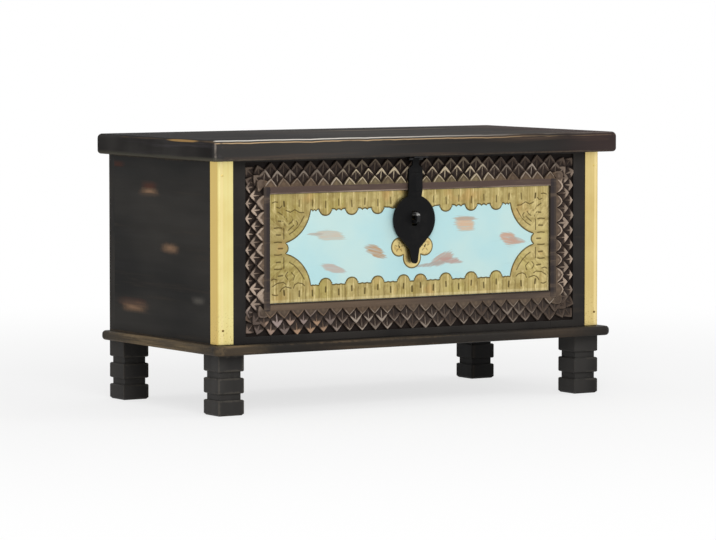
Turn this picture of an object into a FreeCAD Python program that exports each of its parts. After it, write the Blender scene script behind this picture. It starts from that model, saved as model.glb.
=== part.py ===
"""Carved and painted wooden storage chest with brass trim and an iron hasp.

Millimetres, +Z up, the front faces -Y, and the origin is on the floor under the middle of the lid.
"""
import FreeCAD, Part
import math
import os
import re
from types import SimpleNamespace

Vector = FreeCAD.Vector
doc = FreeCAD.newDocument("storage_chest")

# Driving dimensions, one cell each.
SIZES = {
    # Lid: three boards glued edge to edge, rounded all round.
    "lid_length": 800,
    "lid_depth": 400,
    "lid_thickness": 34,
    "lid_corner_radius": 10,
    "lid_top_radius": 8,
    "lid_bottom_radius": 6,
    "lid_front_overhang": 28,
    "lid_dowel_radius": 4,
    "lid_dowel_length": 50,
    "lid_dowel_spacing": 260,
    # Body: two sides and a back between the base board and the lid.
    "body_length": 755,
    "body_depth": 365,
    "body_height": 300,
    "side_thickness": 18,
    "back_thickness": 18,
    "corner_dowel_radius": 4,
    "corner_dowel_length": 32,
    "corner_dowel_depth": 12,
    "corner_dowel_spacing": 106,
    # Front frame: two rails tenoned into two stiles round a grooved panel.
    "frame_thickness": 20,
    "opening_length": 558,
    "opening_height": 179.5,
    "bottom_rail_height": 64,
    "tenon_share": 0.4,
    "tenon_height": 28,
    "mortise_end_gap": 1,
    "panel_recess": 5,
    "panel_thickness": 10,
    "groove_depth": 8,
    "groove_gap": 1,
    # Carving: rows of chips that leave pointed scales standing.
    "carving_margin": 12,
    "scale_pitch": 25.4,
    "scale_row_pitch": 12.5,
    "chip_depth": 4,
    "chip_land": 0.8,
    "chip_deep_share": 0.25,
    "fan_inner_reach": 9,
    "fan_outer_reach": 28,
    "fan_chip_width": 16,
    "fan_inner_length": 14,
    "fan_outer_length": 20,
    # Brass: scalloped border and keyhole plate on the panel, angle strips on the front corners.
    "brass_thickness": 0.8,
    "border_edge_gap": 0.5,
    "window_half_length": 246,
    "window_half_height": 62,
    "window_top_half_length": 198,
    "window_tip_half_height": 8.5,
    "window_tip_bump": 5,
    "window_end_sag": 11,
    "scallop_pitch": 51,
    "scallop_start_share": 0.33,
    "scallop_depth": 11,
    "scallop_cap_radius": 9,
    "scallop_fillet_radius": 7,
    "plate_side_offset": 25.5,
    "plate_side_radius": 16,
    "plate_side_drop": 48.5,
    "plate_bottom_radius": 18,
    "plate_bottom_drop": 67,
    "plate_middle_radius": 20,
    "plate_middle_drop": 42,
    "plate_top_radius": 19,
    "plate_top_drop": 4,
    "strip_front_width": 27.5,
    "strip_side_width": 24,
    "strip_thickness": 1,
    "strip_bend_radius": 5,
    "strip_end_gap": 1,
    "pin_head_radius": 1.8,
    "pin_head_height": 0.9,
    "pin_shank_radius": 0.7,
    "pin_shank_length": 12,
    "pin_end_distance": 24,
    "pin_edge_distance": 8,
    # Base board and legs.
    "base_thickness": 16,
    "base_side_overhang": 15,
    "base_front_overhang": 20,
    "base_back_overhang": 7,
    "base_corner_radius": 10,
    "base_edge_radius": 6,
    "leg_height": 100,
    "leg_side": 48,
    "leg_groove_height": 10.5,
    "leg_groove_depth": 4,
    "leg_lower_groove": 25.5,
    "leg_upper_groove": 61.5,
    "leg_edge_chamfer": 1.5,
    "leg_foot_chamfer": 3,
    "leg_bolt_radius": 4,
    "leg_bolt_in_leg": 40,
    "leg_bolt_in_base": 12,
    "base_screw_radius": 2,
    "base_screw_head_radius": 4,
    "base_screw_head_height": 3,
    "base_screw_length": 45,
    "base_screw_front_spacing": 320,
    "base_screw_side_spacing": 120,
    # Butt hinges at the back.
    "hinge_spacing": 460,
    "hinge_length": 60,
    "hinge_leaf_depth": 18,
    "hinge_leaf_thickness": 2,
    "hinge_knuckle_radius": 4,
    "hinge_pin_radius": 2,
    "hinge_pin_fit": 0.05,
    "hinge_running_gap": 0.3,
    "hinge_axis_stand_off": 1,
    "hinge_screw_radius": 1.5,
    "hinge_screw_head_radius": 3.2,
    "hinge_screw_head_height": 1.8,
    "hinge_screw_length": 20,
    "hinge_screw_spacing": 36,
    "hinge_screw_setback": 11,
    # Hasp, its hinge plate under the lid and its staple. The staple drops from the opening's top
    # edge, and the hasp's disc, taper, tip and slot drop from the staple.
    "hasp_width": 27,
    "hasp_thickness": 3.5,
    "hasp_neck_width": 12,
    "hasp_neck_length": 11,
    "hasp_shoulder_length": 6,
    "hasp_disc_radius": 41,
    "hasp_disc_drop": 3,
    "hasp_taper_drop": 51.5,
    "hasp_tab_width": 20,
    "hasp_tip_width": 12,
    "hasp_tip_drop": 76.5,
    "hasp_joggle": 3.6,
    "hasp_joggle_clearance": 1,
    "hasp_joggle_length": 12,
    "hasp_tip_kick": 2.5,
    "hasp_ridge_height": 1.6,
    "hasp_ridge_start": 24,
    "hasp_slot_width": 10,
    "hasp_slot_height": 25,
    "hasp_slot_drop": 1,
    "hasp_axis_setback": 5,
    "hasp_knuckle_radius": 3.5,
    "hasp_pin_radius": 1.5,
    "hasp_pin_fit": 0.05,
    "hasp_running_gap": 0.3,
    "hasp_plate_depth": 19,
    "hasp_plate_thickness": 2,
    "hasp_screw_radius": 1.25,
    "hasp_screw_head_radius": 2.6,
    "hasp_screw_head_height": 1.6,
    "hasp_screw_length": 16,
    "hasp_screw_spacing": 15,
    "hasp_screw_setback": 12,
    "staple_bar_side": 6,
    "staple_leg_spacing": 13,
    "staple_reach": 21.5,
    "staple_tail": 2,
    "staple_drop": 46.5,
    # Every cutting tool runs this far past what it cuts.
    "overrun": 5,
}
TOLERANCE = 1e-4

sheet = doc.addObject("Spreadsheet::Sheet", "Sizes")
for row, (alias, number) in enumerate(SIZES.items(), start=1):
    sheet.set(f"A{row}", alias)
    sheet.set(f"B{row}", str(number))
    sheet.setAlias(f"B{row}", alias)
doc.recompute()
v = SimpleNamespace(**{alias: float(sheet.get(alias)) for alias in SIZES})

# Levels and planes that several pieces share, as formulas of the cells.
BASE_TOP = "(leg_height + base_thickness)"
BODY_TOP = f"({BASE_TOP} + body_height)"
FRONT = "(lid_front_overhang - lid_depth / 2)"
BACK = f"({FRONT} + body_depth)"
FRAME_BACK = f"({FRONT} + frame_thickness)"
PANEL_FRONT = f"({FRONT} + panel_recess)"
OPENING_BOTTOM = f"({BASE_TOP} + bottom_rail_height)"
OPENING_MIDDLE = f"({OPENING_BOTTOM} + opening_height / 2)"
OPENING_TOP = f"({OPENING_BOTTOM} + opening_height)"
HINGE_Y = f"({BACK} + hinge_axis_stand_off)"
HASP_Y = f"({FRONT} - hasp_axis_setback)"
HASP_Z = f"({BODY_TOP} - hasp_knuckle_radius)"
STAPLE_Z = f"({OPENING_TOP} - staple_drop)"
STILE_WIDTH = "((body_length - opening_length) / 2)"
TENON_LENGTH = f"({STILE_WIDTH} * tenon_share)"
SIDES = {"left": -1, "right": 1}
pieces = []


def bind(feature, target, formula):
    """Tie one property of a feature to a formula of cell names."""
    feature.setExpression(target, re.sub(r"[a-z_]+", r"Sizes.\g<0>", formula))


def place(feature, x="0", y="0", z="0"):
    """Tie the three coordinates of a feature's place to formulas."""
    for axis, formula in (("x", x), ("y", y), ("z", z)):
        bind(feature, f"Placement.Base.{axis}", formula)
    return feature


def block(name, corner, extent):
    """A box from its lowest corner and its three extents."""
    box = doc.addObject("Part::Box", name)
    for target, formula in zip(("Length", "Width", "Height"), extent):
        bind(box, target, formula)
    return place(box, *corner)


def turn(feature, along):
    """Point a round primitive's own axis along +X, +Y, +Z or -Z."""
    axis, angle = {
        "x": (Vector(0, 1, 0), 90),
        "y": (Vector(1, 0, 0), -90),
        "z": (Vector(0, 0, 1), 0),
        "down": (Vector(1, 0, 0), 180),
    }[along]
    feature.Placement.Rotation = FreeCAD.Rotation(axis, angle)
    return feature


def rod(name, start, along, radius, length):
    """A round bar from the middle of its first end."""
    bar = turn(doc.addObject("Part::Cylinder", name), along)
    bind(bar, "Radius", radius)
    bind(bar, "Height", length)
    return place(bar, *start)


def join(name, features):
    union = doc.addObject("Part::MultiFuse", name)
    union.Shapes = features
    return union


def group(name, features):
    compound = doc.addObject("Part::Compound", name)
    compound.Links = features
    return compound


def cut(name, base, tools):
    """Take every tool away from the base."""
    result = doc.addObject("Part::Cut", name)
    result.Base = base
    result.Tool = tools[0] if len(tools) == 1 else group(f"{name}_tools", tools)
    return result


def screw(name, head, along, kind):
    """A countersunk screw, from the middle of its flat head and the direction it is driven."""
    cone = turn(doc.addObject("Part::Cone", f"{name}_head"), along)
    bind(cone, "Radius1", f"{kind}_head_radius")
    bind(cone, "Radius2", f"{kind}_radius")
    bind(cone, "Height", f"{kind}_head_height")
    place(cone, *head)
    return join(name, [cone, rod(f"{name}_shank", head, along, f"{kind}_radius", f"{kind}_length")])


def eased(name, base, kind, choose, amount):
    """Fillet or chamfer the edges of a feature that the test picks."""
    doc.recompute()
    result = doc.addObject(kind, name)
    result.Base = base
    numbered = enumerate(base.Shape.Edges, start=1)
    result.Edges = [(index, amount, amount) for index, edge in numbered if choose(edge)]
    return result


def upright(edge):
    ends = edge.Vertexes
    return abs(ends[0].X - ends[-1].X) + abs(ends[0].Y - ends[-1].Y) < TOLERANCE


def level(edge, height):
    return all(abs(end.Z - height) < TOLERANCE for end in edge.Vertexes)


def front_corner(feature, sign):
    """The test for a block's upright edge at the front, on one side."""
    doc.recompute()
    box = feature.Shape.BoundBox
    corner = Vector(box.XMax if sign > 0 else box.XMin, box.YMin, box.Center.z)
    return lambda edge: upright(edge) and edge.CenterOfMass.isEqual(corner, TOLERANCE)


def on_faces(feature, heights):
    """The test for level edges at some heights that lie in a block's four upright faces."""
    doc.recompute()
    box = feature.Shape.BoundBox

    def test(edge):
        point = edge.CenterOfMass
        rooms = (point.x - box.XMin, box.XMax - point.x, point.y - box.YMin, box.YMax - point.y)
        return min(rooms) < TOLERANCE and any(level(edge, height) for height in heights)

    return test


def shaped(name, shape, x="0", y="0", z="0"):
    """A feature whose shape is drawn about a local zero, then placed."""
    feature = doc.addObject("Part::Feature", name)
    feature.Shape = shape
    return place(feature, x, y, z)


def keep(feature):
    pieces.append(feature)
    return feature


def rounded_board(name, corner, extent, corner_radius, top_radius, bottom_radius):
    """A board with rounded plan corners and rounded top and bottom edges."""
    board = block(f"{name}_box", corner, extent)
    board = eased(f"{name}_corners", board, "Part::Fillet", upright, corner_radius)
    doc.recompute()
    top = board.Shape.BoundBox.ZMax
    board = eased(f"{name}_top", board, "Part::Fillet", lambda edge: level(edge, top), top_radius)
    doc.recompute()
    bottom = board.Shape.BoundBox.ZMin
    return eased(name, board, "Part::Fillet", lambda edge: level(edge, bottom), bottom_radius)


# Legs: square posts with two grooves run round them, bolted up into the base board.
leg_places = {
    "front_left": ("-body_length / 2", FRONT),
    "front_right": ("body_length / 2 - leg_side", FRONT),
    "back_left": ("-body_length / 2", f"{BACK} - leg_side"),
    "back_right": ("body_length / 2 - leg_side", f"{BACK} - leg_side"),
}
leg_bolts = []
for spot, (leg_x, leg_y) in leg_places.items():
    leg_name = f"{spot}_leg"
    bolt = rod(
        f"{spot}_leg_bolt",
        (f"{leg_x} + leg_side / 2", f"{leg_y} + leg_side / 2", "leg_height - leg_bolt_in_leg"),
        "z",
        "leg_bolt_radius",
        "leg_bolt_in_leg + leg_bolt_in_base",
    )
    leg_bolts.append(bolt)
    rings = []
    for groove in ("leg_lower_groove", "leg_upper_groove"):
        outer = block(
            f"{leg_name}_{groove}_outer",
            (f"{leg_x} - overrun", f"{leg_y} - overrun", groove),
            ("leg_side + 2 * overrun", "leg_side + 2 * overrun", "leg_groove_height"),
        )
        neck = block(
            f"{leg_name}_{groove}_neck",
            (f"{leg_x} + leg_groove_depth", f"{leg_y} + leg_groove_depth", groove),
            ("leg_side - 2 * leg_groove_depth", "leg_side - 2 * leg_groove_depth", "leg_groove_height"),
        )
        rings.append(cut(f"{leg_name}_{groove}_ring", outer, [neck]))
    post = block(f"{leg_name}_post", (leg_x, leg_y, "0"), ("leg_side", "leg_side", "leg_height"))
    grooved = cut(f"{leg_name}_grooved", post, rings)
    grooves = (v.leg_lower_groove, v.leg_upper_groove)
    rims = [groove + rise for groove in grooves for rise in (0, v.leg_groove_height)]
    rim_edges = on_faces(post, rims)
    eased_rims = eased(f"{leg_name}_rims", grooved, "Part::Chamfer", rim_edges, v.leg_edge_chamfer)
    foot = eased(
        f"{leg_name}_foot", eased_rims, "Part::Chamfer", lambda edge: level(edge, 0), v.leg_foot_chamfer,
    )
    keep(cut(leg_name, foot, [bolt]))
keep(group("leg_bolts", leg_bolts))

# Base board: the floor of the chest, screwed up into the walls that stand on it.
base_screw_places = {
    "front_1": ("-base_screw_front_spacing / 2", f"{FRONT} + frame_thickness / 2"),
    "front_2": ("base_screw_front_spacing / 2", f"{FRONT} + frame_thickness / 2"),
    "back_1": ("-base_screw_front_spacing / 2", f"{BACK} - back_thickness / 2"),
    "back_2": ("base_screw_front_spacing / 2", f"{BACK} - back_thickness / 2"),
    "left_1": ("side_thickness / 2 - body_length / 2", "-base_screw_side_spacing / 2"),
    "left_2": ("side_thickness / 2 - body_length / 2", "base_screw_side_spacing / 2"),
    "right_1": ("body_length / 2 - side_thickness / 2", "-base_screw_side_spacing / 2"),
    "right_2": ("body_length / 2 - side_thickness / 2", "base_screw_side_spacing / 2"),
}
base_screws = {
    spot: screw(f"base_screw_{spot}", (screw_x, screw_y, "leg_height"), "z", "base_screw")
    for spot, (screw_x, screw_y) in base_screw_places.items()
}
base_blank = rounded_board(
    "base_blank",
    ("-body_length / 2 - base_side_overhang", f"{FRONT} - base_front_overhang", "leg_height"),
    (
        "body_length + 2 * base_side_overhang",
        "body_depth + base_front_overhang + base_back_overhang",
        "base_thickness",
    ),
    v.base_corner_radius,
    v.base_edge_radius,
    v.base_edge_radius,
)
keep(cut("base_board", base_blank, leg_bolts + list(base_screws.values())))
keep(group("base_screws", list(base_screws.values())))

# Side panels: plain boards between the front frame and the back, on dowels.
corner_dowels = []
for side, sign in SIDES.items():
    panel_x = "-body_length / 2" if sign < 0 else "body_length / 2 - side_thickness"
    dowels = []
    for level_name, number in (("low", -1), ("high", 1)):
        height = f"{BASE_TOP} + body_height / 2 + {number} * corner_dowel_spacing"
        ends = {
            "front": f"{FRAME_BACK} - corner_dowel_depth",
            "back": f"{BACK} - back_thickness + corner_dowel_depth - corner_dowel_length",
        }
        for end, dowel_y in ends.items():
            dowels.append(rod(
                f"corner_dowel_{side}_{end}_{level_name}",
                (f"{panel_x} + side_thickness / 2", dowel_y, height),
                "y",
                "corner_dowel_radius",
                "corner_dowel_length",
            ))
    corner_dowels += dowels
    blank = block(
        f"{side}_side_blank",
        (panel_x, FRAME_BACK, BASE_TOP),
        ("side_thickness", "body_depth - frame_thickness - back_thickness", "body_height"),
    )
    side_screws = [base_screws[f"{side}_1"], base_screws[f"{side}_2"]]
    keep(cut(f"{side}_side_panel", blank, dowels + side_screws))
keep(group("corner_dowels", corner_dowels))

# Butt hinges: two knuckles on the chest's leaf, one on the lid's between them, on one pin.
KNUCKLES = 3
hinge_cuts = {"chest": [], "lid": []}
hinge_screws = {"chest": [], "lid": []}
for side, sign in SIDES.items():
    hinge_x = f"({sign} * hinge_spacing / 2)"
    hinge_start = f"({hinge_x} - hinge_length / 2)"
    barrel = f"(hinge_length / {KNUCKLES})"
    pin = rod(
        f"{side}_hinge_pin",
        (hinge_start, HINGE_Y, BODY_TOP),
        "x",
        "hinge_pin_radius",
        "hinge_length",
    )
    keep(pin)
    bore = rod(
        f"{side}_hinge_bore",
        (f"{hinge_start} - overrun", HINGE_Y, BODY_TOP),
        "x",
        "hinge_pin_radius + hinge_pin_fit",
        "hinge_length + 2 * overrun",
    )
    for owner, parity in (("chest", 0), ("lid", 1)):
        leaf_name = f"{side}_{owner}_hinge_leaf"
        leaf_z = f"{BODY_TOP} - hinge_leaf_thickness" if owner == "chest" else BODY_TOP
        plate_corner = (hinge_start, f"{HINGE_Y} - hinge_leaf_depth", leaf_z)
        plate_extent = ("hinge_length", "hinge_leaf_depth", "hinge_leaf_thickness")
        plate = block(f"{leaf_name}_plate", plate_corner, plate_extent)
        barrels = []
        reliefs = []
        for number in range(KNUCKLES):
            barrel_start = f"{hinge_start} + {number} * {barrel}"
            if number % 2 == parity:
                barrels.append(rod(
                    f"{leaf_name}_barrel_{number}",
                    (f"{barrel_start} + hinge_running_gap / 2", HINGE_Y, BODY_TOP),
                    "x",
                    "hinge_knuckle_radius",
                    f"{barrel} - hinge_running_gap",
                ))
            else:
                reliefs.append(rod(
                    f"{leaf_name}_relief_{number}",
                    (f"{barrel_start} - hinge_running_gap / 2", HINGE_Y, BODY_TOP),
                    "x",
                    "hinge_knuckle_radius + hinge_running_gap",
                    f"{barrel} + hinge_running_gap",
                ))
        screws = []
        for number in (-1, 1):
            screws.append(screw(
                f"{leaf_name}_screw_{number + 2}",
                (
                    f"{hinge_x} + {number} * hinge_screw_spacing / 2",
                    f"{HINGE_Y} - hinge_screw_setback",
                    BODY_TOP,
                ),
                "down" if owner == "chest" else "z",
                "hinge_screw",
            ))
        hinge_screws[owner] += screws
        relieved = cut(f"{leaf_name}_relieved", plate, reliefs)
        knuckled = join(f"{leaf_name}_knuckled", [relieved] + barrels)
        keep(cut(leaf_name, knuckled, [bore] + screws))
        seat = block(f"{leaf_name}_seat", plate_corner, plate_extent)
        trough = rod(
            f"{leaf_name}_trough",
            (f"{hinge_start} - hinge_running_gap", HINGE_Y, BODY_TOP),
            "x",
            "hinge_knuckle_radius + hinge_running_gap",
            "hinge_length + 2 * hinge_running_gap",
        )
        hinge_cuts[owner].append(join(f"{leaf_name}_mortise", [seat, trough] + screws))
    clearance = block(
        f"{side}_hinge_clearance",
        (f"{hinge_start} - hinge_running_gap", HINGE_Y, f"{BODY_TOP} - overrun"),
        (
            "hinge_length + 2 * hinge_running_gap",
            "hinge_leaf_depth",
            "overrun + hinge_knuckle_radius + hinge_running_gap",
        ),
    )
    hinge_cuts["lid"][-1] = join(f"{side}_lid_hinge_room", [hinge_cuts["lid"][-1], clearance])
keep(group("chest_hinge_screws", hinge_screws["chest"]))
keep(group("lid_hinge_screws", hinge_screws["lid"]))

# Back panel: one wide board behind the sides, mortised for the hinges.
back_blank = block(
    "back_blank",
    ("-body_length / 2", f"{BACK} - back_thickness", BASE_TOP),
    ("body_length", "back_thickness", "body_height"),
)
back_dowels = [dowel for dowel in corner_dowels if "_back_" in dowel.Name]
back_screws = [base_screws[f"back_{number}"] for number in (1, 2)]
keep(cut("back_panel", back_blank, back_dowels + back_screws + hinge_cuts["chest"]))


# Carving: diamond chips whose floor rises outwards from one deep corner, so that
# the wood left between them stands as rows of overlapping pointed scales.
TOP_ROW_COUNT = 3
ROW_COUNT = 2
FAN_TURNS = [math.radians(degrees) for degrees in (-35, 0, 35)]


def chip(x, z, heading, width, length):
    """One chip, cut from the face at y = 0, its deep corner turned away from the heading."""
    out = Vector(math.sin(heading), 0, math.cos(heading))
    across = Vector(out.z, 0, -out.x)
    middle = Vector(x, 0, z)
    rim = [
        middle - out * (length / 2),
        middle + across * (width / 2),
        middle + out * (length / 2),
        middle - across * (width / 2),
    ]
    deep = middle - out * (length * v.chip_deep_share) + Vector(0, v.chip_depth, 0)
    stretch = 1 + v.overrun / v.chip_depth
    rim = [deep + (corner - deep) * stretch for corner in rim]
    faces = [Part.Face(Part.makePolygon(rim + rim[:1]))]
    for number, corner in enumerate(rim):
        following = rim[(number + 1) % len(rim)]
        faces.append(Part.Face(Part.makePolygon([deep, corner, following, deep])))
    return Part.Solid(Part.Shell(faces))


def carving_chips():
    """Every chip round the opening, about the middle of the opening."""
    half_length = v.opening_length / 2 + v.carving_margin
    half_height = v.opening_height / 2 + v.carving_margin
    chips = []
    for quarter in range(4):
        rows = ROW_COUNT if quarter else TOP_ROW_COUNT
        heading = quarter * math.pi / 2
        run = half_height if quarter % 2 else half_length
        reach = half_length if quarter % 2 else half_height
        count = int(2 * run / v.scale_pitch)
        pitch = 2 * run / count
        width = pitch - 2 * v.chip_land
        length = 2 * v.scale_row_pitch - 2 * v.chip_land
        out = (math.sin(heading), math.cos(heading))
        for row in range(1, rows + 1):
            for number in range(count + 1 - row):
                along = (number + row / 2) * pitch - run
                away = reach + row * v.scale_row_pitch
                chips.append(chip(
                    away * out[0] + along * out[1], away * out[1] - along * out[0], heading, width, length,
                ))
        corner_x = half_length * (out[0] + out[1])
        corner_z = half_height * (out[1] - out[0])
        fan = [(0, v.fan_inner_reach, v.fan_inner_length)]
        fan += [(spread, v.fan_outer_reach, v.fan_outer_length) for spread in FAN_TURNS]
        for spread, fan_reach, length in fan:
            slant = heading + math.pi / 4 + spread
            chips.append(chip(
                corner_x + fan_reach * math.sin(slant),
                corner_z + fan_reach * math.cos(slant),
                slant,
                v.fan_chip_width,
                length,
            ))
    return chips


all_chips = carving_chips()


def carve(name, base, x_range, z_range):
    """Cut the chips that reach into one member of the frame, given its span about the opening."""
    reached = []
    for solid in all_chips:
        box = solid.BoundBox
        across = box.XMin < x_range[1] and box.XMax > x_range[0]
        if across and box.ZMin < z_range[1] and box.ZMax > z_range[0]:
            reached.append(solid)
    tool = shaped(f"{name}_chips", Part.makeCompound(reached), y=FRONT, z=OPENING_MIDDLE)
    return cut(name, base, [tool])


half_opening = v.opening_length / 2
half_body = v.body_length / 2
half_rise = v.opening_height / 2
rise_to_top = v.body_height - v.bottom_rail_height - half_rise
drop_to_base = v.bottom_rail_height + half_rise
panel_groove = block(
    "panel_groove",
    ("-opening_length / 2 - groove_depth", PANEL_FRONT, f"{OPENING_BOTTOM} - groove_depth"),
    ("opening_length + 2 * groove_depth", "panel_thickness", "opening_height + 2 * groove_depth"),
)

# Rails: carved boards over and under the panel, with a tenon at each end.
rail_places = {
    "top": (
        OPENING_TOP,
        f"({BODY_TOP} - {OPENING_TOP})",
        f"({OPENING_TOP} + groove_depth + {BODY_TOP}) / 2",
    ),
    "bottom": (
        BASE_TOP,
        "bottom_rail_height",
        f"({BASE_TOP} + {OPENING_BOTTOM} - groove_depth) / 2",
    ),
}
mortises = []
for position, (rail_z, rail_height, tenon_z) in rail_places.items():
    rail_name = f"front_{position}_rail"
    board = block(
        f"{rail_name}_board",
        ("-opening_length / 2", FRONT, rail_z),
        ("opening_length", "frame_thickness", rail_height),
    )
    tenon = block(
        f"{rail_name}_tenon",
        (f"-opening_length / 2 - {TENON_LENGTH}", PANEL_FRONT, f"{tenon_z} - tenon_height / 2"),
        (f"opening_length + 2 * {TENON_LENGTH}", "panel_thickness", "tenon_height"),
    )
    mortises.append(block(
        f"{rail_name}_mortise",
        (
            f"-opening_length / 2 - {TENON_LENGTH} - mortise_end_gap",
            PANEL_FRONT,
            f"{tenon_z} - tenon_height / 2",
        ),
        (f"opening_length + 2 * {TENON_LENGTH} + 2 * mortise_end_gap", "panel_thickness", "tenon_height"),
    ))
    screws = [base_screws[f"front_{number}"] for number in (1, 2)] if position == "bottom" else []
    rail = join(f"{rail_name}_tenoned", [board, tenon])
    rail = cut(f"{rail_name}_fitted", rail, [panel_groove] + screws)
    z_range = (half_rise, rise_to_top) if position == "top" else (-drop_to_base, -half_rise)
    keep(carve(rail_name, rail, (-half_opening, half_opening), z_range))


# Corner strips: brass angle bent round each front corner and pinned to the stile behind it.
def corner_block(name, sign, inset, ends, bottom, height, radius):
    """A block behind the strip's outer or inner faces, rounded on the front corner."""
    span = f"(strip_front_width + strip_thickness - {inset} + {ends})"
    outer_x = f"({sign} * (body_length / 2 + strip_thickness - {inset}))"
    solid = block(
        f"{name}_box",
        (f"{outer_x} - {span}" if sign > 0 else outer_x, f"{FRONT} - strip_thickness + {inset}", bottom),
        (span, f"strip_side_width + strip_thickness - {inset} + {ends}", height),
    )
    return eased(name, solid, "Part::Fillet", front_corner(solid, sign), radius)


strip_z = f"({BASE_TOP} + strip_end_gap)"
strip_height = "(body_height - 2 * strip_end_gap)"
inner_bend_radius = v.strip_bend_radius - v.strip_thickness
strip_pins = {}
for side, sign in SIDES.items():
    strip_name = f"{side}_corner_strip"
    outside = corner_block(
        f"{strip_name}_outside", sign, "0", "0", strip_z, strip_height, v.strip_bend_radius,
    )
    inside = corner_block(
        f"{strip_name}_inside",
        sign,
        "strip_thickness",
        "overrun",
        f"{strip_z} - overrun",
        f"{strip_height} + 2 * overrun",
        inner_bend_radius,
    )
    pin_heights = {
        "bottom": f"{BASE_TOP} + pin_end_distance",
        "top": f"{BODY_TOP} - pin_end_distance",
    }
    pin_x = f"{sign} * (body_length / 2 - pin_edge_distance)"
    face_y = f"{FRONT} - strip_thickness"
    strip_pins[side] = []
    for end, pin_z in pin_heights.items():
        pin_name = f"{strip_name}_{end}_pin"
        head = rod(
            f"{pin_name}_head",
            (pin_x, f"{face_y} - pin_head_height", pin_z),
            "y",
            "pin_head_radius",
            "pin_head_height",
        )
        shank = rod(
            f"{pin_name}_shank", (pin_x, face_y, pin_z), "y", "pin_shank_radius", "pin_shank_length",
        )
        strip_pins[side].append(join(pin_name, [head, shank]))
    keep(cut(strip_name, cut(f"{strip_name}_bent", outside, [inside]), strip_pins[side]))
keep(group("strip_pins", strip_pins["left"] + strip_pins["right"]))

# Stiles: carved uprights at the corners, mortised for the rails, grooved for the panel
# and rounded on the outer corner under the brass strip.
for side, sign in SIDES.items():
    stile_name = f"front_{side}_stile"
    stile_x = "-body_length / 2" if sign < 0 else "opening_length / 2"
    board = block(
        f"{stile_name}_board",
        (stile_x, FRONT, BASE_TOP),
        (STILE_WIDTH, "frame_thickness", "body_height"),
    )
    board = eased(
        f"{stile_name}_rounded", board, "Part::Fillet", front_corner(board, sign), inner_bend_radius,
    )
    front_dowels = [dowel for dowel in corner_dowels if f"_{side}_front_" in dowel.Name]
    sockets = join(f"{stile_name}_sockets", [panel_groove] + mortises)
    stile = cut(f"{stile_name}_fitted", board, [sockets] + front_dowels + strip_pins[side])
    span = (-half_body, -half_opening) if sign < 0 else (half_opening, half_body)
    keep(carve(stile_name, stile, span, (-drop_to_base, rise_to_top)))


# Staple: a square iron bar bent double and driven through the panel, its eye in the hasp's slot.
def staple_shape():
    """The side view of the bent bar, about the panel's face, extruded to its width."""
    half_bar = v.staple_bar_side / 2
    outer = v.staple_leg_spacing / 2 + half_bar
    inner = v.staple_leg_spacing / 2 - half_bar
    bend_y = outer - v.staple_reach
    tail_y = v.panel_thickness + v.staple_tail
    edges = []
    for rise in (outer, inner):
        above = Vector(-half_bar, bend_y, rise)
        below = Vector(-half_bar, bend_y, -rise)
        edges.append(Part.makeLine(Vector(-half_bar, tail_y, rise), above))
        edges.append(Part.Arc(above, Vector(-half_bar, bend_y - rise, 0), below).toShape())
        edges.append(Part.makeLine(below, Vector(-half_bar, tail_y, -rise)))
    for sign in SIDES.values():
        edges.append(Part.makeLine(
            Vector(-half_bar, tail_y, sign * inner), Vector(-half_bar, tail_y, sign * outer),
        ))
    profile = Part.Face(Part.Wire(Part.__sortEdges__(edges)))
    return profile.extrude(Vector(v.staple_bar_side, 0, 0))


staple = keep(shaped("staple", staple_shape(), y=PANEL_FRONT, z=STAPLE_Z))

# Front panel: the painted board, loose in its groove.
front_panel_board = block(
    "front_panel_board",
    (
        "groove_gap - opening_length / 2 - groove_depth",
        PANEL_FRONT,
        f"{OPENING_BOTTOM} - groove_depth + groove_gap",
    ),
    (
        "opening_length + 2 * groove_depth - 2 * groove_gap",
        "panel_thickness",
        "opening_height + 2 * groove_depth - 2 * groove_gap",
    ),
)
keep(cut("front_panel", front_panel_board, [staple]))


# Brass border: one sheet with a scalloped window, pinned flat on the panel.
def scallop_edges(middle, top, sign):
    """One bell-shaped lobe on the window's edge: a round cap between two hollow fillets."""
    cap = v.scallop_cap_radius
    fillet = v.scallop_fillet_radius
    span = math.sqrt((cap + fillet) ** 2 - (cap + fillet - v.scallop_depth) ** 2)
    cap_centre = Vector(middle, 0, top - sign * (v.scallop_depth - cap))
    crest = cap_centre - Vector(0, 0, sign * cap)
    hollows = []
    for side in SIDES.values():
        centre = Vector(middle + side * span, 0, top - sign * fillet)
        towards_cap = (cap_centre - centre).normalize()
        towards_edge = Vector(0, 0, sign)
        between = (towards_cap + towards_edge).normalize()
        hollows.append([centre + turn * fillet for turn in (towards_edge, between, towards_cap)])
    (start, first_bend, first_end), (end, last_bend, last_start) = hollows
    return start, end, [
        Part.Arc(start, first_bend, first_end).toShape(),
        Part.Arc(first_end, crest, last_start).toShape(),
        Part.Arc(last_start, last_bend, end).toShape(),
    ]


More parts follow.
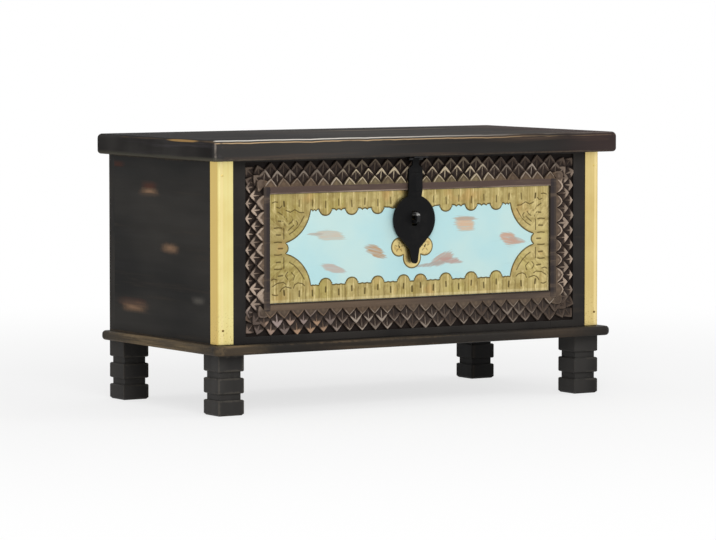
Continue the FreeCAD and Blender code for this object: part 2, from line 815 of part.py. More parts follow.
def window_edges():
    """The window's outline, drawn for the right half and mirrored, about the opening's middle."""
    corner = v.window_top_half_length
    tip = v.window_half_length
    tip_rise = v.window_tip_half_height
    first = v.scallop_pitch * v.scallop_start_share
    edges = []
    for sign, hidden in ((1, 1), (-1, 0)):
        top = sign * v.window_half_height
        here = Vector(0, 0, top)
        shoulder = Vector(corner, 0, top)
        middle = first + hidden * v.scallop_pitch
        start, end, lobe = scallop_edges(middle, top, sign)
        while end.x < corner:
            edges += [Part.makeLine(here, start)] + lobe
            here = end
            middle += v.scallop_pitch
            start, end, lobe = scallop_edges(middle, top, sign)
        notch = Vector(tip, 0, sign * tip_rise)
        chord = notch - shoulder
        sideways = Vector(chord.z, 0, -chord.x).normalize() * (sign * v.window_end_sag)
        edges.append(Part.makeLine(here, shoulder))
        edges.append(Part.Arc(shoulder, (shoulder + notch) / 2 + sideways, notch).toShape())
    bump = Vector(tip - v.window_tip_bump, 0, 0)
    edges.append(Part.Arc(Vector(tip, 0, tip_rise), bump, Vector(tip, 0, -tip_rise)).toShape())
    mirrored = [edge.mirror(Vector(0, 0, 0), Vector(1, 0, 0)) for edge in edges]
    return edges + mirrored


def border_shape():
    half_length = v.opening_length / 2 - v.border_edge_gap
    half_height = v.opening_height / 2 - v.border_edge_gap
    sheet_outline = Part.makePolygon([
        Vector(x, 0, z) for x, z in (
            (-half_length, -half_height),
            (half_length, -half_height),
            (half_length, half_height),
            (-half_length, half_height),
            (-half_length, -half_height),
        )
    ])
    window = Part.Wire(Part.__sortEdges__(window_edges()))
    sheet_face = Part.Face(sheet_outline).cut(Part.Face(window))
    return sheet_face.extrude(Vector(0, -v.brass_thickness, 0)).Solids[0]


keep(shaped("brass_border", border_shape(), y=PANEL_FRONT, z=OPENING_MIDDLE))

# Keyhole plate: a brass trefoil behind the hasp, round the staple's legs.
plate_lobes = {
    "left": ("-plate_side_offset", "plate_side_drop", "plate_side_radius"),
    "right": ("plate_side_offset", "plate_side_drop", "plate_side_radius"),
    "bottom": ("0", "plate_bottom_drop", "plate_bottom_radius"),
    "middle": ("0", "plate_middle_drop", "plate_middle_radius"),
    "top": ("0", "plate_top_drop", "plate_top_radius"),
}
lobes = [
    rod(
        f"keyhole_plate_{spot}_lobe",
        (lobe_x, f"{PANEL_FRONT} - brass_thickness", f"{STAPLE_Z} - {drop}"),
        "y",
        radius,
        "brass_thickness",
    )
    for spot, (lobe_x, drop, radius) in plate_lobes.items()
]
keep(cut("keyhole_plate", join("keyhole_plate_blank", lobes), [staple]))

# Hasp plate: an iron hinge leaf screwed under the lid's front overhang.
plate_corner = ("-hasp_width / 2", f"{HASP_Y} - hasp_plate_depth", f"{BODY_TOP} - hasp_plate_thickness")
plate = block(
    "hasp_plate_leaf", plate_corner, ("hasp_width", "hasp_plate_depth", "hasp_plate_thickness"),
)
plate_barrel = rod(
    "hasp_plate_barrel", ("-hasp_width / 2", HASP_Y, HASP_Z), "x", "hasp_knuckle_radius", "hasp_width",
)
plate_gap = rod(
    "hasp_plate_gap",
    ("-hasp_neck_width / 2 - hasp_running_gap", HASP_Y, HASP_Z),
    "x",
    "hasp_knuckle_radius + hasp_running_gap",
    "hasp_neck_width + 2 * hasp_running_gap",
)
hasp_bore = rod(
    "hasp_bore",
    ("-hasp_width / 2 - overrun", HASP_Y, HASP_Z),
    "x",
    "hasp_pin_radius + hasp_pin_fit",
    "hasp_width + 2 * overrun",
)
hasp_screws = [
    screw(
        f"hasp_plate_screw_{number + 2}",
        (
            f"{number} * hasp_screw_spacing / 2",
            f"{HASP_Y} - hasp_screw_setback",
            f"{BODY_TOP} - hasp_plate_thickness",
        ),
        "z",
        "hasp_screw",
    )
    for number in (-1, 1)
]
plate_blank = join("hasp_plate_blank", [plate, plate_barrel])
keep(cut("hasp_plate", cut("hasp_plate_gapped", plate_blank, [plate_gap]), [hasp_bore] + hasp_screws))
keep(group("hasp_plate_screws", hasp_screws))
keep(rod("hasp_pin", ("-hasp_width / 2", HASP_Y, HASP_Z), "x", "hasp_pin_radius", "hasp_width"))


# Hasp: forged strap, disc and lifting tab in one, bent in side view, about its own hinge axis.
DISC_TAPER_TURN = math.radians(45)
edge_drop = v.body_height - v.bottom_rail_height - v.opening_height - v.hasp_knuckle_radius
eye_drop = edge_drop + v.staple_drop
disc_drop = eye_drop + v.hasp_disc_drop
taper_drop = eye_drop + v.hasp_taper_drop
tip_drop = eye_drop + v.hasp_tip_drop
slot_drop = eye_drop + v.hasp_slot_drop
joggle_start = edge_drop + v.hasp_joggle_clearance


def hasp_outline():
    """The front view, right half then mirrored."""
    disc = Vector(0, 0, -disc_drop)
    radius = v.hasp_disc_radius
    neck = v.hasp_neck_width / 2
    strap = v.hasp_width / 2
    shoulder_z = -v.hasp_neck_length - v.hasp_shoulder_length
    strap_end = disc + Vector(strap, 0, math.sqrt(radius ** 2 - strap ** 2))
    widest = disc + Vector(radius, 0, 0)
    taper = disc + Vector(math.cos(DISC_TAPER_TURN), 0, -math.sin(DISC_TAPER_TURN)) * radius
    tab = Vector(v.hasp_tab_width / 2, 0, -taper_drop)
    tip_radius = v.hasp_tip_width / 2
    tip = Vector(tip_radius, 0, tip_radius - tip_drop)
    corners = [
        Vector(neck, 0, 0),
        Vector(neck, 0, -v.hasp_neck_length),
        Vector(strap, 0, shoulder_z),
        strap_end,
    ]
    half = [Part.LineSegment(a, b).toShape() for a, b in zip(corners, corners[1:])]
    half.append(Part.Arc(strap_end, widest, taper).toShape())
    half.append(Part.LineSegment(taper, tab).toShape())
    half.append(Part.LineSegment(tab, tip).toShape())
    mirrored = [edge.mirror(Vector(0, 0, 0), Vector(1, 0, 0)) for edge in half]
    left_tip = Vector(-tip.x, 0, tip.z)
    ends = [
        Part.LineSegment(Vector(-neck, 0, 0), Vector(neck, 0, 0)).toShape(),
        Part.Arc(tip, Vector(0, 0, -tip_drop), left_tip).toShape(),
    ]
    return Part.Face(Part.Wire(Part.__sortEdges__(half + mirrored + ends)))


def hasp_shape():
    """The outline cut through a bent bar, with a rolled eye, a ridged strap and a slot."""
    bends = [
        (0, 0),
        (0, -joggle_start),
        (v.hasp_joggle, -joggle_start - v.hasp_joggle_length),
        (v.hasp_joggle, -taper_drop),
        (v.hasp_joggle - v.hasp_tip_kick, -tip_drop - v.overrun),
    ]
    half = v.hasp_thickness / 2
    profile = [Vector(0, y - half, z) for y, z in bends]
    profile += [Vector(0, y + half, z) for y, z in reversed(bends)]
    bar = Part.Face(Part.makePolygon(profile + profile[:1]))
    bar.translate(Vector(-v.hasp_disc_radius - v.overrun, 0, 0))
    bar = bar.extrude(Vector(2 * (v.hasp_disc_radius + v.overrun), 0, 0))
    front = hasp_outline()
    front.translate(Vector(0, -v.hasp_disc_radius, 0))
    plate = bar.common(front.extrude(Vector(0, 2 * v.hasp_disc_radius, 0)))
    eye_radius = v.hasp_knuckle_radius - v.hasp_running_gap
    neck = v.hasp_neck_width / 2
    eye = Part.makeCylinder(eye_radius, v.hasp_neck_width, Vector(-neck, 0, 0), Vector(1, 0, 0))
    bore = Part.makeCylinder(
        v.hasp_pin_radius + v.hasp_pin_fit,
        v.hasp_neck_width + 2 * v.overrun,
        Vector(-neck - v.overrun, 0, 0),
        Vector(1, 0, 0),
    )
    strap = v.hasp_width / 2
    ridge_line = [
        Vector(-strap, -half, -joggle_start),
        Vector(0, -half - v.hasp_ridge_height, -joggle_start),
        Vector(strap, -half, -joggle_start),
        Vector(strap, 0, -joggle_start),
        Vector(-strap, 0, -joggle_start),
    ]
    ridge = Part.Face(Part.makePolygon(ridge_line + ridge_line[:1]))
    ridge = ridge.extrude(Vector(0, 0, joggle_start - v.hasp_ridge_start))
    slot_half = v.hasp_slot_width / 2
    slot = Part.makeBox(
        v.hasp_slot_width,
        2 * v.hasp_disc_radius,
        v.hasp_slot_height,
        Vector(-slot_half, -v.hasp_disc_radius, -slot_drop - v.hasp_slot_height / 2),
    )
    return plate.fuse([eye, ridge]).cut([bore, slot]).removeSplitter()


keep(shaped("hasp", hasp_shape(), y=HASP_Y, z=HASP_Z))

# Lid: three boards cut from one rounded blank, held edge to edge by dowels.
lid_blank = rounded_board(
    "lid_blank",
    ("-lid_length / 2", "-lid_depth / 2", BODY_TOP),
    ("lid_length", "lid_depth", "lid_thickness"),
    v.lid_corner_radius,
    v.lid_top_radius,
    v.lid_bottom_radius,
)
BOARDS = ("front", "middle", "back")
lid_dowels = []
for seam in (1, 2):
    for number in (-1, 0, 1):
        lid_dowels.append(rod(
            f"lid_dowel_{seam}_{number + 2}",
            (
                f"{number} * lid_dowel_spacing",
                f"{seam} * lid_depth / {len(BOARDS)} - lid_depth / 2 - lid_dowel_length / 2",
                f"{BODY_TOP} + lid_thickness / 2",
            ),
            "y",
            "lid_dowel_radius",
            "lid_dowel_length",
        ))
for number, position in enumerate(BOARDS):
    slice_box = block(
        f"lid_{position}_slice",
        (
            "-lid_length / 2 - overrun",
            f"{number} * lid_depth / {len(BOARDS)} - lid_depth / 2",
            f"{BODY_TOP} - overrun",
        ),
        ("lid_length + 2 * overrun", f"lid_depth / {len(BOARDS)}", "lid_thickness + 2 * overrun"),
    )
    board = doc.addObject("Part::Common", f"lid_{position}_blank")
    board.Base = lid_blank
    board.Tool = slice_box
    seams = (f"_dowel_{number}_", f"_dowel_{number + 1}_")
    tools = [dowel for dowel in lid_dowels if any(seam in dowel.Name for seam in seams)]
    tools += {"front": hasp_screws, "middle": [], "back": hinge_cuts["lid"]}[position]
    keep(cut(f"lid_{position}_board", board, tools))
keep(group("lid_dowels", lid_dowels))

doc.recompute()
faults = [thing.Name for thing in doc.Objects if {"Invalid", "Error"} & set(thing.State)]
for piece in pieces:
    if piece.Shape.isNull() or not piece.Shape.isValid() or not piece.Shape.Solids:
        faults.append(piece.Label)
if faults:
    raise RuntimeError("not built: " + ", ".join(faults))

os.makedirs("parts", exist_ok=True)
for piece in pieces:
    piece.Shape.exportStep(f"parts/{piece.Label}.step")
print(len(pieces), "pieces,", sum(len(piece.Shape.Solids) for piece in pieces), "solids")
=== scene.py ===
import math

import bmesh
import bpy
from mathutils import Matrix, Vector
from mathutils.geometry import delaunay_2d_cdt


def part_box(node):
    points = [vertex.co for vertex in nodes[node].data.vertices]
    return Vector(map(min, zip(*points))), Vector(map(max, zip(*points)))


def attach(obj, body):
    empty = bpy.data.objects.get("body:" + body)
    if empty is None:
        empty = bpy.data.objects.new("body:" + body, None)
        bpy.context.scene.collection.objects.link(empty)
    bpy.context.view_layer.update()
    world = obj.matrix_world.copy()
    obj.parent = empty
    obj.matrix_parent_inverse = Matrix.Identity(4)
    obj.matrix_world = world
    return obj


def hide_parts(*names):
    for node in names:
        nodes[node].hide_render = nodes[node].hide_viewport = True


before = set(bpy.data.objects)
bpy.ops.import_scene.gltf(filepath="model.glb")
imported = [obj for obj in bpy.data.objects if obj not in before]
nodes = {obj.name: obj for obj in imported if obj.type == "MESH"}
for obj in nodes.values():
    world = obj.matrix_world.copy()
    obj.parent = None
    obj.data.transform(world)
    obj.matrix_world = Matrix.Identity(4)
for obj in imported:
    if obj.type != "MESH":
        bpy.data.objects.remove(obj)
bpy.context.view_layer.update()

MM = 0.001
ACROSS, BACK, UP = range(3)

# Legs: four square blocks of hardwood with two sawn grooves round each, painted black-brown.
# Feet and brooms have rubbed the arrises and groove rims to a dull grey.
# each leg's tones are scaled: the front left leg is painted lighter and the back right leg darker, as painted light and
# shade
LEG_PAINTED_LIGHT = {"front_left_leg": 1.22, "front_right_leg": 1.0, "back_left_leg": 1.0, "back_right_leg": 0.5}
LEG_TONES = ((38, 37, 36), (60, 58, 56), (86, 81, 74))
LEG_WEAR = 0.4
LEG_GROOVE_RIMS = (25.5 * MM, 36 * MM, 61.5 * MM, 72 * MM)


def tint(red, green, blue):
    """A colour as the eye reads it, 0 to 255, for a shader."""
    linear = []
    for level in (red, green, blue):
        share = level / 255
        linear.append(share / 12.92 if share <= 0.04045 else ((share + 0.055) / 1.055) ** 2.4)
    return (*linear, 1)


class Value:
    """A number, colour or direction in a finish. Sums on it add their own nodes."""

    def __init__(self, tree, socket=None):
        self.tree = tree
        self.socket = socket

    def feed(self, socket, given):
        """Link a value to a socket, or set a plain number or colour on it."""
        if isinstance(given, Value):
            self.tree.links.new(given.socket, socket)
        else:
            socket.default_value = given

    def node(self, kind, inputs, output=0, **settings):
        node = self.tree.nodes.new(kind)
        for name, setting in settings.items():
            setattr(node, name, setting)
        for name, given in inputs.items():
            self.feed(node.inputs[name], given)
        return Value(self.tree, node.outputs[output])

    def math(self, operation, first, second=0.0):
        return self.node("ShaderNodeMath", {0: first, 1: second}, operation=operation)

    def __abs__(self):
        return self.math("ABSOLUTE", self)

    def least(self, other):
        return self.math("MINIMUM", self, other)

    def most(self, other):
        return self.math("MAXIMUM", self, other)

    def fraction(self):
        return self.math("FRACT", self)

    def ramp(self, start, end):
        """0 at start and 1 at end, eased between them."""
        return self.node("ShaderNodeMapRange", {"Value": self, "From Min": start, "From Max": end},
                         interpolation_type="SMOOTHSTEP")

    def joined(self, x, y, z):
        return self.node("ShaderNodeCombineXYZ", {0: x, 1: y, 2: z})

    def stretched(self, *pulls):
        return self.node("ShaderNodeVectorMath", {0: self, 1: pulls}, operation="MULTIPLY")

    def noise(self, scale, detail=3.0, rough=0.5):
        return self.node("ShaderNodeTexNoise", {"Vector": self, "Scale": scale, "Detail": detail, "Roughness": rough})


SUMS = {"add": "ADD", "sub": "SUBTRACT", "mul": "MULTIPLY", "truediv": "DIVIDE", "pow": "POWER"}
for sign, operation in SUMS.items():
    setattr(Value, f"__{sign}__", lambda self, other, kind=operation: self.math(kind, self, other))
    setattr(Value, f"__r{sign}__", lambda self, other, kind=operation: self.math(kind, other, self))


class Finish:
    """A new material: where its surface lies, and the one shader that it ends in."""

    def __init__(self, name):
        self.material = bpy.data.materials.new(name)
        self.material.use_nodes = True
        self.tree = self.material.node_tree
        self.shader = self.tree.nodes["Principled BSDF"]
        self.start = Value(self.tree)
        self.place = self.start.node("ShaderNodeTexCoord", {}, "Object")
        self.x, self.y, self.z = (
            self.start.node("ShaderNodeSeparateXYZ", {0: self.place}, axis) for axis in "XYZ")

    def mix(self, under, over, share):
        """One tone over another; a tone is a value, or three levels as the eye reads them."""
        under, over = (tone if isinstance(tone, Value) else tint(*tone) for tone in (under, over))
        return self.start.node("ShaderNodeMix", {0: share, 6: under, 7: over}, 2, data_type="RGBA")

    def cover(self, tone, *layers):
        """A tone under layers of others, each with its own share."""
        for over, share in layers:
            tone = self.mix(tone, over, share)
        return tone

    def streaks(self, pulls, detail=3.0, rough=0.5):
        """Noise drawn out along the directions that have a small number."""
        return self.place.stretched(*pulls).noise(1.0, detail, rough)

    def attribute(self, name):
        return self.start.node("ShaderNodeAttribute", {}, "Fac", attribute_name=name)

    def set(self, **sockets):
        for name, given in sockets.items():
            self.start.feed(self.shader.inputs[name.replace("_", " ")], given)

    def along_ends(self, grain, far):
        """Streaks that turn with a rounded edge and run along a board's ends too."""
        ends = abs(self.x).ramp(far - 22 * MM, far - 14 * MM)
        return grain * (1 - ends) + self.streaks((70.0, 4.0, 90.0), 5.0, 0.62) * ends

    def bump(self, height, strength, distance):
        self.set(Normal=self.start.node("ShaderNodeBump", {
            "Strength": strength, "Distance": distance, "Height": height}))


def rub(first, second, centre, reach, ragged, lean=0.0, firm=0.6):
    """A rubbed patch on two of the surface's directions; its edge is ragged and it can lean."""
    down = (second - centre[1]) / reach[1]
    across = (first - centre[0]) / reach[0] + down * lean
    return ((abs(across) ** 3 + abs(down) ** 3) ** (1 / 3) + ragged).ramp(1.15, firm)


PAINT_STREAK = (60, 53, 46)
PAINT_WORN = (112, 95, 74)


def black_paint(name, low, high, along, tones, wear, ledges=(), over=UP, scuffs=(), outer=None, round_ends=False):
    """Black-brown paint over grain that runs along one direction: thin on the arrises, rubbed through at the scuffs."""
    deep, soft, bared = tones
    finish = Finish(name)
    ways = (finish.x, finish.y, finish.z)
    grain = finish.streaks([3.0 if axis == along else 70.0 for axis in range(3)], 5.0, 0.62)
    if round_ends:
        grain = finish.along_ends(grain, high[ACROSS])
    broad = finish.streaks([2.5 if axis == along else 8.0 for axis in range(3)])
    speck = finish.place.noise(160.0, 2.0)
    inside = [(here - start).least(end - here) for here, start, end in zip(ways, low, high)]
    for ledge in ledges:
        inside[UP] = inside[UP].least(abs(finish.z - ledge))
    narrow = inside[ACROSS].least(inside[BACK])
    wide = inside[ACROSS].most(inside[BACK])
    arris = narrow.most(wide.least(inside[UP]))
    worn = (arris + (grain - 0.5) * 0.009 + (broad - 0.5) * 0.012 + (speck - 0.5) * 0.004).ramp(0.0032, -0.0008)
    bare = worn * wear
    tone = finish.cover(deep, (soft, broad.ramp(0.3, 0.7)), (PAINT_STREAK, grain.ramp(0.55, 0.8) * 0.7), (bared, bare))
    ragged = (grain - 0.5) * 1.6 + (speck - 0.5) * 0.3
    for centre, reach, rubbed, strength in scuffs:
        patch = rub(ways[along], ways[over], centre, reach, ragged, 0.0, 0.1)
        patch = patch * (0.2 + grain.ramp(0.38, 0.6) * 0.8) * strength
        if outer:
            patch = patch * abs(ways[outer[0]] - outer[1]).ramp(0.005, 0.002)
        tone = finish.mix(tone, rubbed, patch)
        bare = bare.most(patch)
    finish.set(Base_Color=tone, Specular_IOR_Level=0.07, Roughness=0.5 + (grain - 0.5) * 0.25 + bare * 0.2)
    finish.bump(grain * 0.7 + speck * 0.3, 0.25, 0.0006)
    return finish.material


def dress(node, material):
    """A finish on a piece that keeps the frame's own shape."""
    slots = nodes[node].data.materials
    slots.clear()
    slots.append(material)


# each leg gets its painted light and shade as a scale on its tones
for leg, shade in LEG_PAINTED_LIGHT.items():
    tones = [[level * shade for level in tone] for tone in LEG_TONES]
    dress(leg, black_paint(f"{leg}_paint", *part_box(leg), UP, tones, LEG_WEAR, LEG_GROOVE_RIMS))

# Bolts and screws: plain steel, turned in from below and from inside, where they hardly show.
# The same steel makes the hinge pins and the small screws of hinges and hasp.
STEEL_NODES = ("leg_bolts", "base_screws", "chest_hinge_screws", "lid_hinge_screws", "hasp_plate_screws",
               "left_hinge_pin", "right_hinge_pin", "hasp_pin")
steel = Finish("dull_steel")
steel_turning = steel.streaks((40.0, 40.0, 600.0), 4.0)
steel.set(Base_Color=steel.mix((128, 126, 122), (84, 74, 64), steel.place.noise(90.0).ramp(0.5, 0.75)),
          Metallic=1.0, Roughness=0.34 + steel_turning * 0.2)
steel.bump(steel_turning, 0.2, 0.0002)
for node in STEEL_NODES:
    dress(node, steel.material)

# Base board: one wide board under the chest, its edge rounded over all round and worn brown.
# The chest stands on it, set back from its front edge, and the legs are bolted up into it.
BASE_TONES = ((27, 25, 23), (49, 46, 43), PAINT_WORN)
BASE_WEAR = 0.6
# centre and reach along the grain and over it, bared tone, strength
BASE_SCUFFS = (
    ((-0.392, 0.0), (0.012, 0.20), (160, 138, 104), 0.8),
    ((-0.35, -0.19), (0.06, 0.012), (146, 124, 94), 0.7),
    ((-0.08, -0.19), (0.15, 0.009), (104, 88, 70), 0.5),
    ((0.27, -0.19), (0.10, 0.008), (96, 80, 64), 0.4),
)
dress("base_board", black_paint("base_board_paint", *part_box("base_board"), ACROSS, BASE_TONES, BASE_WEAR,
                                over=BACK, scuffs=BASE_SCUFFS, round_ends=True))

# Sides and back: glued-up boards with the grain level, painted black-brown.
# Here and there the paint is rubbed through to red-brown and grey wood, as if from use.
RUBBED_RED = (116, 62, 44)
RUBBED_TAN = (156, 124, 98)
RUBBED_GREY = (102, 98, 92)
LEFT_SCUFFS = (
    ((0.162, 0.400), (0.024, 0.006), RUBBED_RED, 0.6),
    ((0.055, 0.367), (0.030, 0.009), RUBBED_RED, 0.5),
    ((0.055, 0.357), (0.036, 0.008), RUBBED_TAN, 0.9),
    ((-0.015, 0.266), (0.034, 0.010), RUBBED_TAN, 0.85),
    ((0.112, 0.169), (0.055, 0.009), RUBBED_RED, 0.5),
    ((0.108, 0.162), (0.050, 0.011), RUBBED_TAN, 0.9),
    ((-0.107, 0.185), (0.026, 0.008), RUBBED_GREY, 0.8),
)
RIGHT_SCUFFS = (
    ((0.090, 0.372), (0.034, 0.010), RUBBED_TAN, 0.8),
    ((-0.060, 0.300), (0.030, 0.009), RUBBED_TAN, 0.75),
    ((0.120, 0.205), (0.040, 0.011), RUBBED_GREY, 0.7),
    ((-0.020, 0.160), (0.036, 0.009), RUBBED_RED, 0.7),
)
BACK_SCUFFS = (
    ((-0.220, 0.330), (0.050, 0.010), RUBBED_TAN, 0.7),
    ((0.150, 0.250), (0.045, 0.011), RUBBED_TAN, 0.75),
    ((0.290, 0.180), (0.040, 0.008), RUBBED_GREY, 0.7),
    ((-0.090, 0.170), (0.055, 0.009), RUBBED_RED, 0.6),
)
SIDE_TONES = ((18, 17, 16), (50, 47, 43), PAINT_WORN)
SIDE_WEAR = 0.35
# board, way of its grain, scuffs, way that its outer face looks, and which end of the board's box that face is
SIDES = (
    ("left_side_panel", BACK, LEFT_SCUFFS, ACROSS, 0),
    ("right_side_panel", BACK, RIGHT_SCUFFS, ACROSS, 1),
    ("back_panel", ACROSS, BACK_SCUFFS, BACK, 1),
)
# the paint runs on unworn over the joint of sides and back
JOINED = 50 * MM
for board, along, scuffs, way, end in SIDES:
    low, high = map(Vector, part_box(board))
    outer = (way, (low, high)[end][way])
    if board == "back_panel":
        low.y -= JOINED
    else:
        high.y += JOINED
    dress(board, black_paint(f"{board}_paint", low, high, along, SIDE_TONES, SIDE_WEAR, scuffs=scuffs, outer=outer))

# Dowels: short pegs of bare pale wood, glued across the corners and between the lid's boards.
# They are buried in the joints and are seen only if the chest is taken apart.
bare_wood = Finish("bare_wood")
peg_grain = bare_wood.streaks((60.0, 60.0, 60.0), 4.0)
bare_wood.set(Base_Color=bare_wood.mix((196, 160, 116), (160, 120, 80), peg_grain), Roughness=0.7)
bare_wood.bump(peg_grain, 0.2, 0.0003)
for node in ("corner_dowels", "lid_dowels"):
    dress(node, bare_wood.material)

# Front frame: two rails and two stiles of dark hardwood round the sunk panel.
# A band is cut down all round it for the carving, with a plain brown margin inside and a black strip outside.
rail_low, rail_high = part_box("front_top_rail")
stile_low, stile_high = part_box("front_left_stile")
sill_low, sill_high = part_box("front_bottom_rail")
FRONT_Y = stile_low.y
FRAME_BACK_Y = stile_high.y
OPENING_X = 279 * MM
OPENING_LOW = sill_high.z
OPENING_HIGH = rail_low.z
MARGIN = 12 * MM
BAND_X = OPENING_X + MARGIN
BAND_LOW = OPENING_LOW - MARGIN
BAND_HIGH = OPENING_HIGH + MARGIN
BAND_SIDE = 35 * MM
BAND_TOP = 41.5 * MM
BAND_BOTTOM = 40 * MM
BAND_DEPTH = 4.6 * MM
FRAME_SOFTENING = 0.7 * MM
STRIP_BEND = 4.2 * MM
SAME_PLACE = 1e-6


def mesh_of(name, shape):
    mesh = bpy.data.meshes.new(name)
    shape.to_mesh(mesh)
    shape.free()
    return mesh


def shown(name, data):
    piece = bpy.data.objects.new(name, data)
    bpy.context.scene.collection.objects.link(piece)
    return piece


def around(loop):
    """Each place on a closed loop with the next one."""
    return zip(loop, loop[1:] + loop[:1])


def terraced_board(name, across, up, sunk, rounded=None):
    """A board seen from the front: a grid of cells, some of them cut down below its face."""
    board = bmesh.new()
    columns, rows = len(across) - 1, len(up) - 1

    def level(column, row):
        if 0 <= column < columns and 0 <= row < rows:
            return FRONT_Y + BAND_DEPTH * sunk(column, row)
        return FRAME_BACK_Y

    corners = {}

    def corner(column, row, y):
        key = (column, row, round(y, 6))
        if key not in corners:
            corners[key] = board.verts.new((across[column], y, up[row]))
        return corners[key]

    for column in range(columns):
        for row in range(rows):
            face = level(column, row)
            ring = ((column, row), (column + 1, row), (column + 1, row + 1), (column, row + 1))
            board.faces.new([corner(*place, face) for place in ring])
            board.faces.new([corner(*place, FRAME_BACK_Y) for place in reversed(ring)])
            beyond = ((column, row - 1), (column + 1, row), (column, row + 1), (column - 1, row))
            for neighbour, (first, second) in zip(beyond, around(ring)):
                other = level(*neighbour)
                steps = sorted({face, other, FRONT_Y + BAND_DEPTH})
                for near, far in zip(steps, steps[1:]):
                    if face <= near and far <= other:
                        board.faces.new([corner(*second, near), corner(*first, near),
                                         corner(*first, far), corner(*second, far)])
    bmesh.ops.recalc_face_normals(board, faces=board.faces)
    if rounded is not None:
        arris = [edge for edge in board.edges if all(
            abs(end.co.x - rounded) < SAME_PLACE and abs(end.co.y - FRONT_Y) < SAME_PLACE for end in edge.verts)]
        bmesh.ops.bevel(board, geom=arris, offset=STRIP_BEND, segments=4, profile=0.5, affect="EDGES")
    piece = shown(name, mesh_of(name, board))
    soft = piece.modifiers.new("softened arrises", "BEVEL")
    soft.width = FRAME_SOFTENING
    soft.segments = 2
    soft.limit_method = "ANGLE"
    return piece


frame_wood = Finish("frame_wood")
frame_grain = frame_wood.streaks((5.0, 80.0, 80.0), 5.0, 0.6)
frame_broad = frame_wood.place.noise(9.0)
frame_speck = frame_wood.place.noise(220.0, 2.0)
frame_out = abs(frame_wood.x)
past_margin = (frame_out - BAND_X).most((frame_wood.z - BAND_HIGH).most(BAND_LOW - frame_wood.z))
on_rail = (OPENING_X - frame_out).ramp(-0.0004, 0.0006)
low_margin = (OPENING_LOW - frame_wood.z).ramp(-0.003, 0.001) * on_rail
high_margin = (frame_wood.z - OPENING_HIGH).ramp(-0.003, 0.001) * on_rail
# a painted highlight along the arris over the opening's top edge
arris_highlight = abs(frame_wood.z - OPENING_HIGH - 0.0012).ramp(0.0014, 0.0004) * on_rail
# painted shade along the opening's bottom edge, between the margin and the brass
low_edge_shade = abs(OPENING_LOW - frame_wood.z).ramp(0.003, 0.0012) * on_rail
margin_tone = frame_wood.cover(
    (70, 61, 55),
    # painted shade beside the opening's edge on the stiles
    ((54, 48, 48), frame_out.ramp(0.2885, 0.284)),
    (frame_wood.mix((100, 84, 70), (78, 67, 60), frame_wood.x.ramp(-0.1, 0.15)), low_margin),
    ((86, 71, 65), high_margin),
    ((140, 120, 100), frame_grain.ramp(0.5, 0.78) * 0.45),
    # painted highlight on the top arris
    ((186, 166, 146), arris_highlight * frame_grain.ramp(0.4, 0.6) * 0.8),
    # painted shade at the opening's bottom edge
    ((40, 32, 28), low_edge_shade * 0.85))
frame_tone = frame_wood.cover(
    (34, 32, 31),
    ((50, 47, 44), frame_broad.ramp(0.3, 0.7)),
    ((66, 58, 50), frame_grain.ramp(0.58, 0.8) * 0.5),
    (margin_tone, past_margin.ramp(0.0015, -0.0005)),
    ((30, 23, 20), (frame_wood.y - FRONT_Y).ramp(0.0012, 0.003)))
frame_wood.set(Base_Color=frame_tone, Roughness=0.52 + (frame_grain - 0.5) * 0.2, Specular_IOR_Level=0.1)
frame_wood.bump(frame_grain * 0.7 + frame_speck * 0.3, 0.25, 0.0006)

RAIL_ACROSS = (-OPENING_X, OPENING_X)
STILE_OUTER_X = -stile_low.x
STILE_ACROSS = (OPENING_X, BAND_X, BAND_X + BAND_SIDE, STILE_OUTER_X)
STILE_UP = (stile_low.z, BAND_LOW - BAND_BOTTOM, BAND_LOW, BAND_HIGH, BAND_HIGH + BAND_TOP, stile_high.z)


def sunk_on_stile(column, row):
    """The band's two columns on a stile: its own run, and the ends of the level runs."""
    return 0 < row < 4 and (column == 1 or (column == 0 and row != 2))


RAILS = (
    ("carved_top_rail", "front_top_rail", (OPENING_HIGH, BAND_HIGH, BAND_HIGH + BAND_TOP, rail_high.z)),
    ("carved_bottom_rail", "front_bottom_rail", (sill_low.z, BAND_LOW - BAND_BOTTOM, BAND_LOW, OPENING_LOW)),
)
frame_pieces = []
for name, node, up in RAILS:
    frame_pieces.append((terraced_board(name, RAIL_ACROSS, up, lambda column, row: row == 1), node))
right_stile = terraced_board("carved_right_stile", STILE_ACROSS, STILE_UP, sunk_on_stile, STILE_OUTER_X)
left_stile = terraced_board("carved_left_stile", tuple(-x for x in reversed(STILE_ACROSS)), STILE_UP,
                            lambda column, row: sunk_on_stile(2 - column, row), -STILE_OUTER_X)
frame_pieces += [(right_stile, "front_right_stile"), (left_stile, "front_left_stile")]
for piece, node in frame_pieces:
    piece.data.materials.append(frame_wood.material)
    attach(piece, "chest")
    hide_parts(node)

# Carved scales: three rows cut with a chisel, pointing away from the panel on all four sides.
# The first row is plain, the others have a raised rim and a vein; rubbed ridges show pale wood.
SCALE_PITCH = 25.4 * MM
SCALE_SHRINK = 0.985
SCALE_FOOT = -6.0 * MM
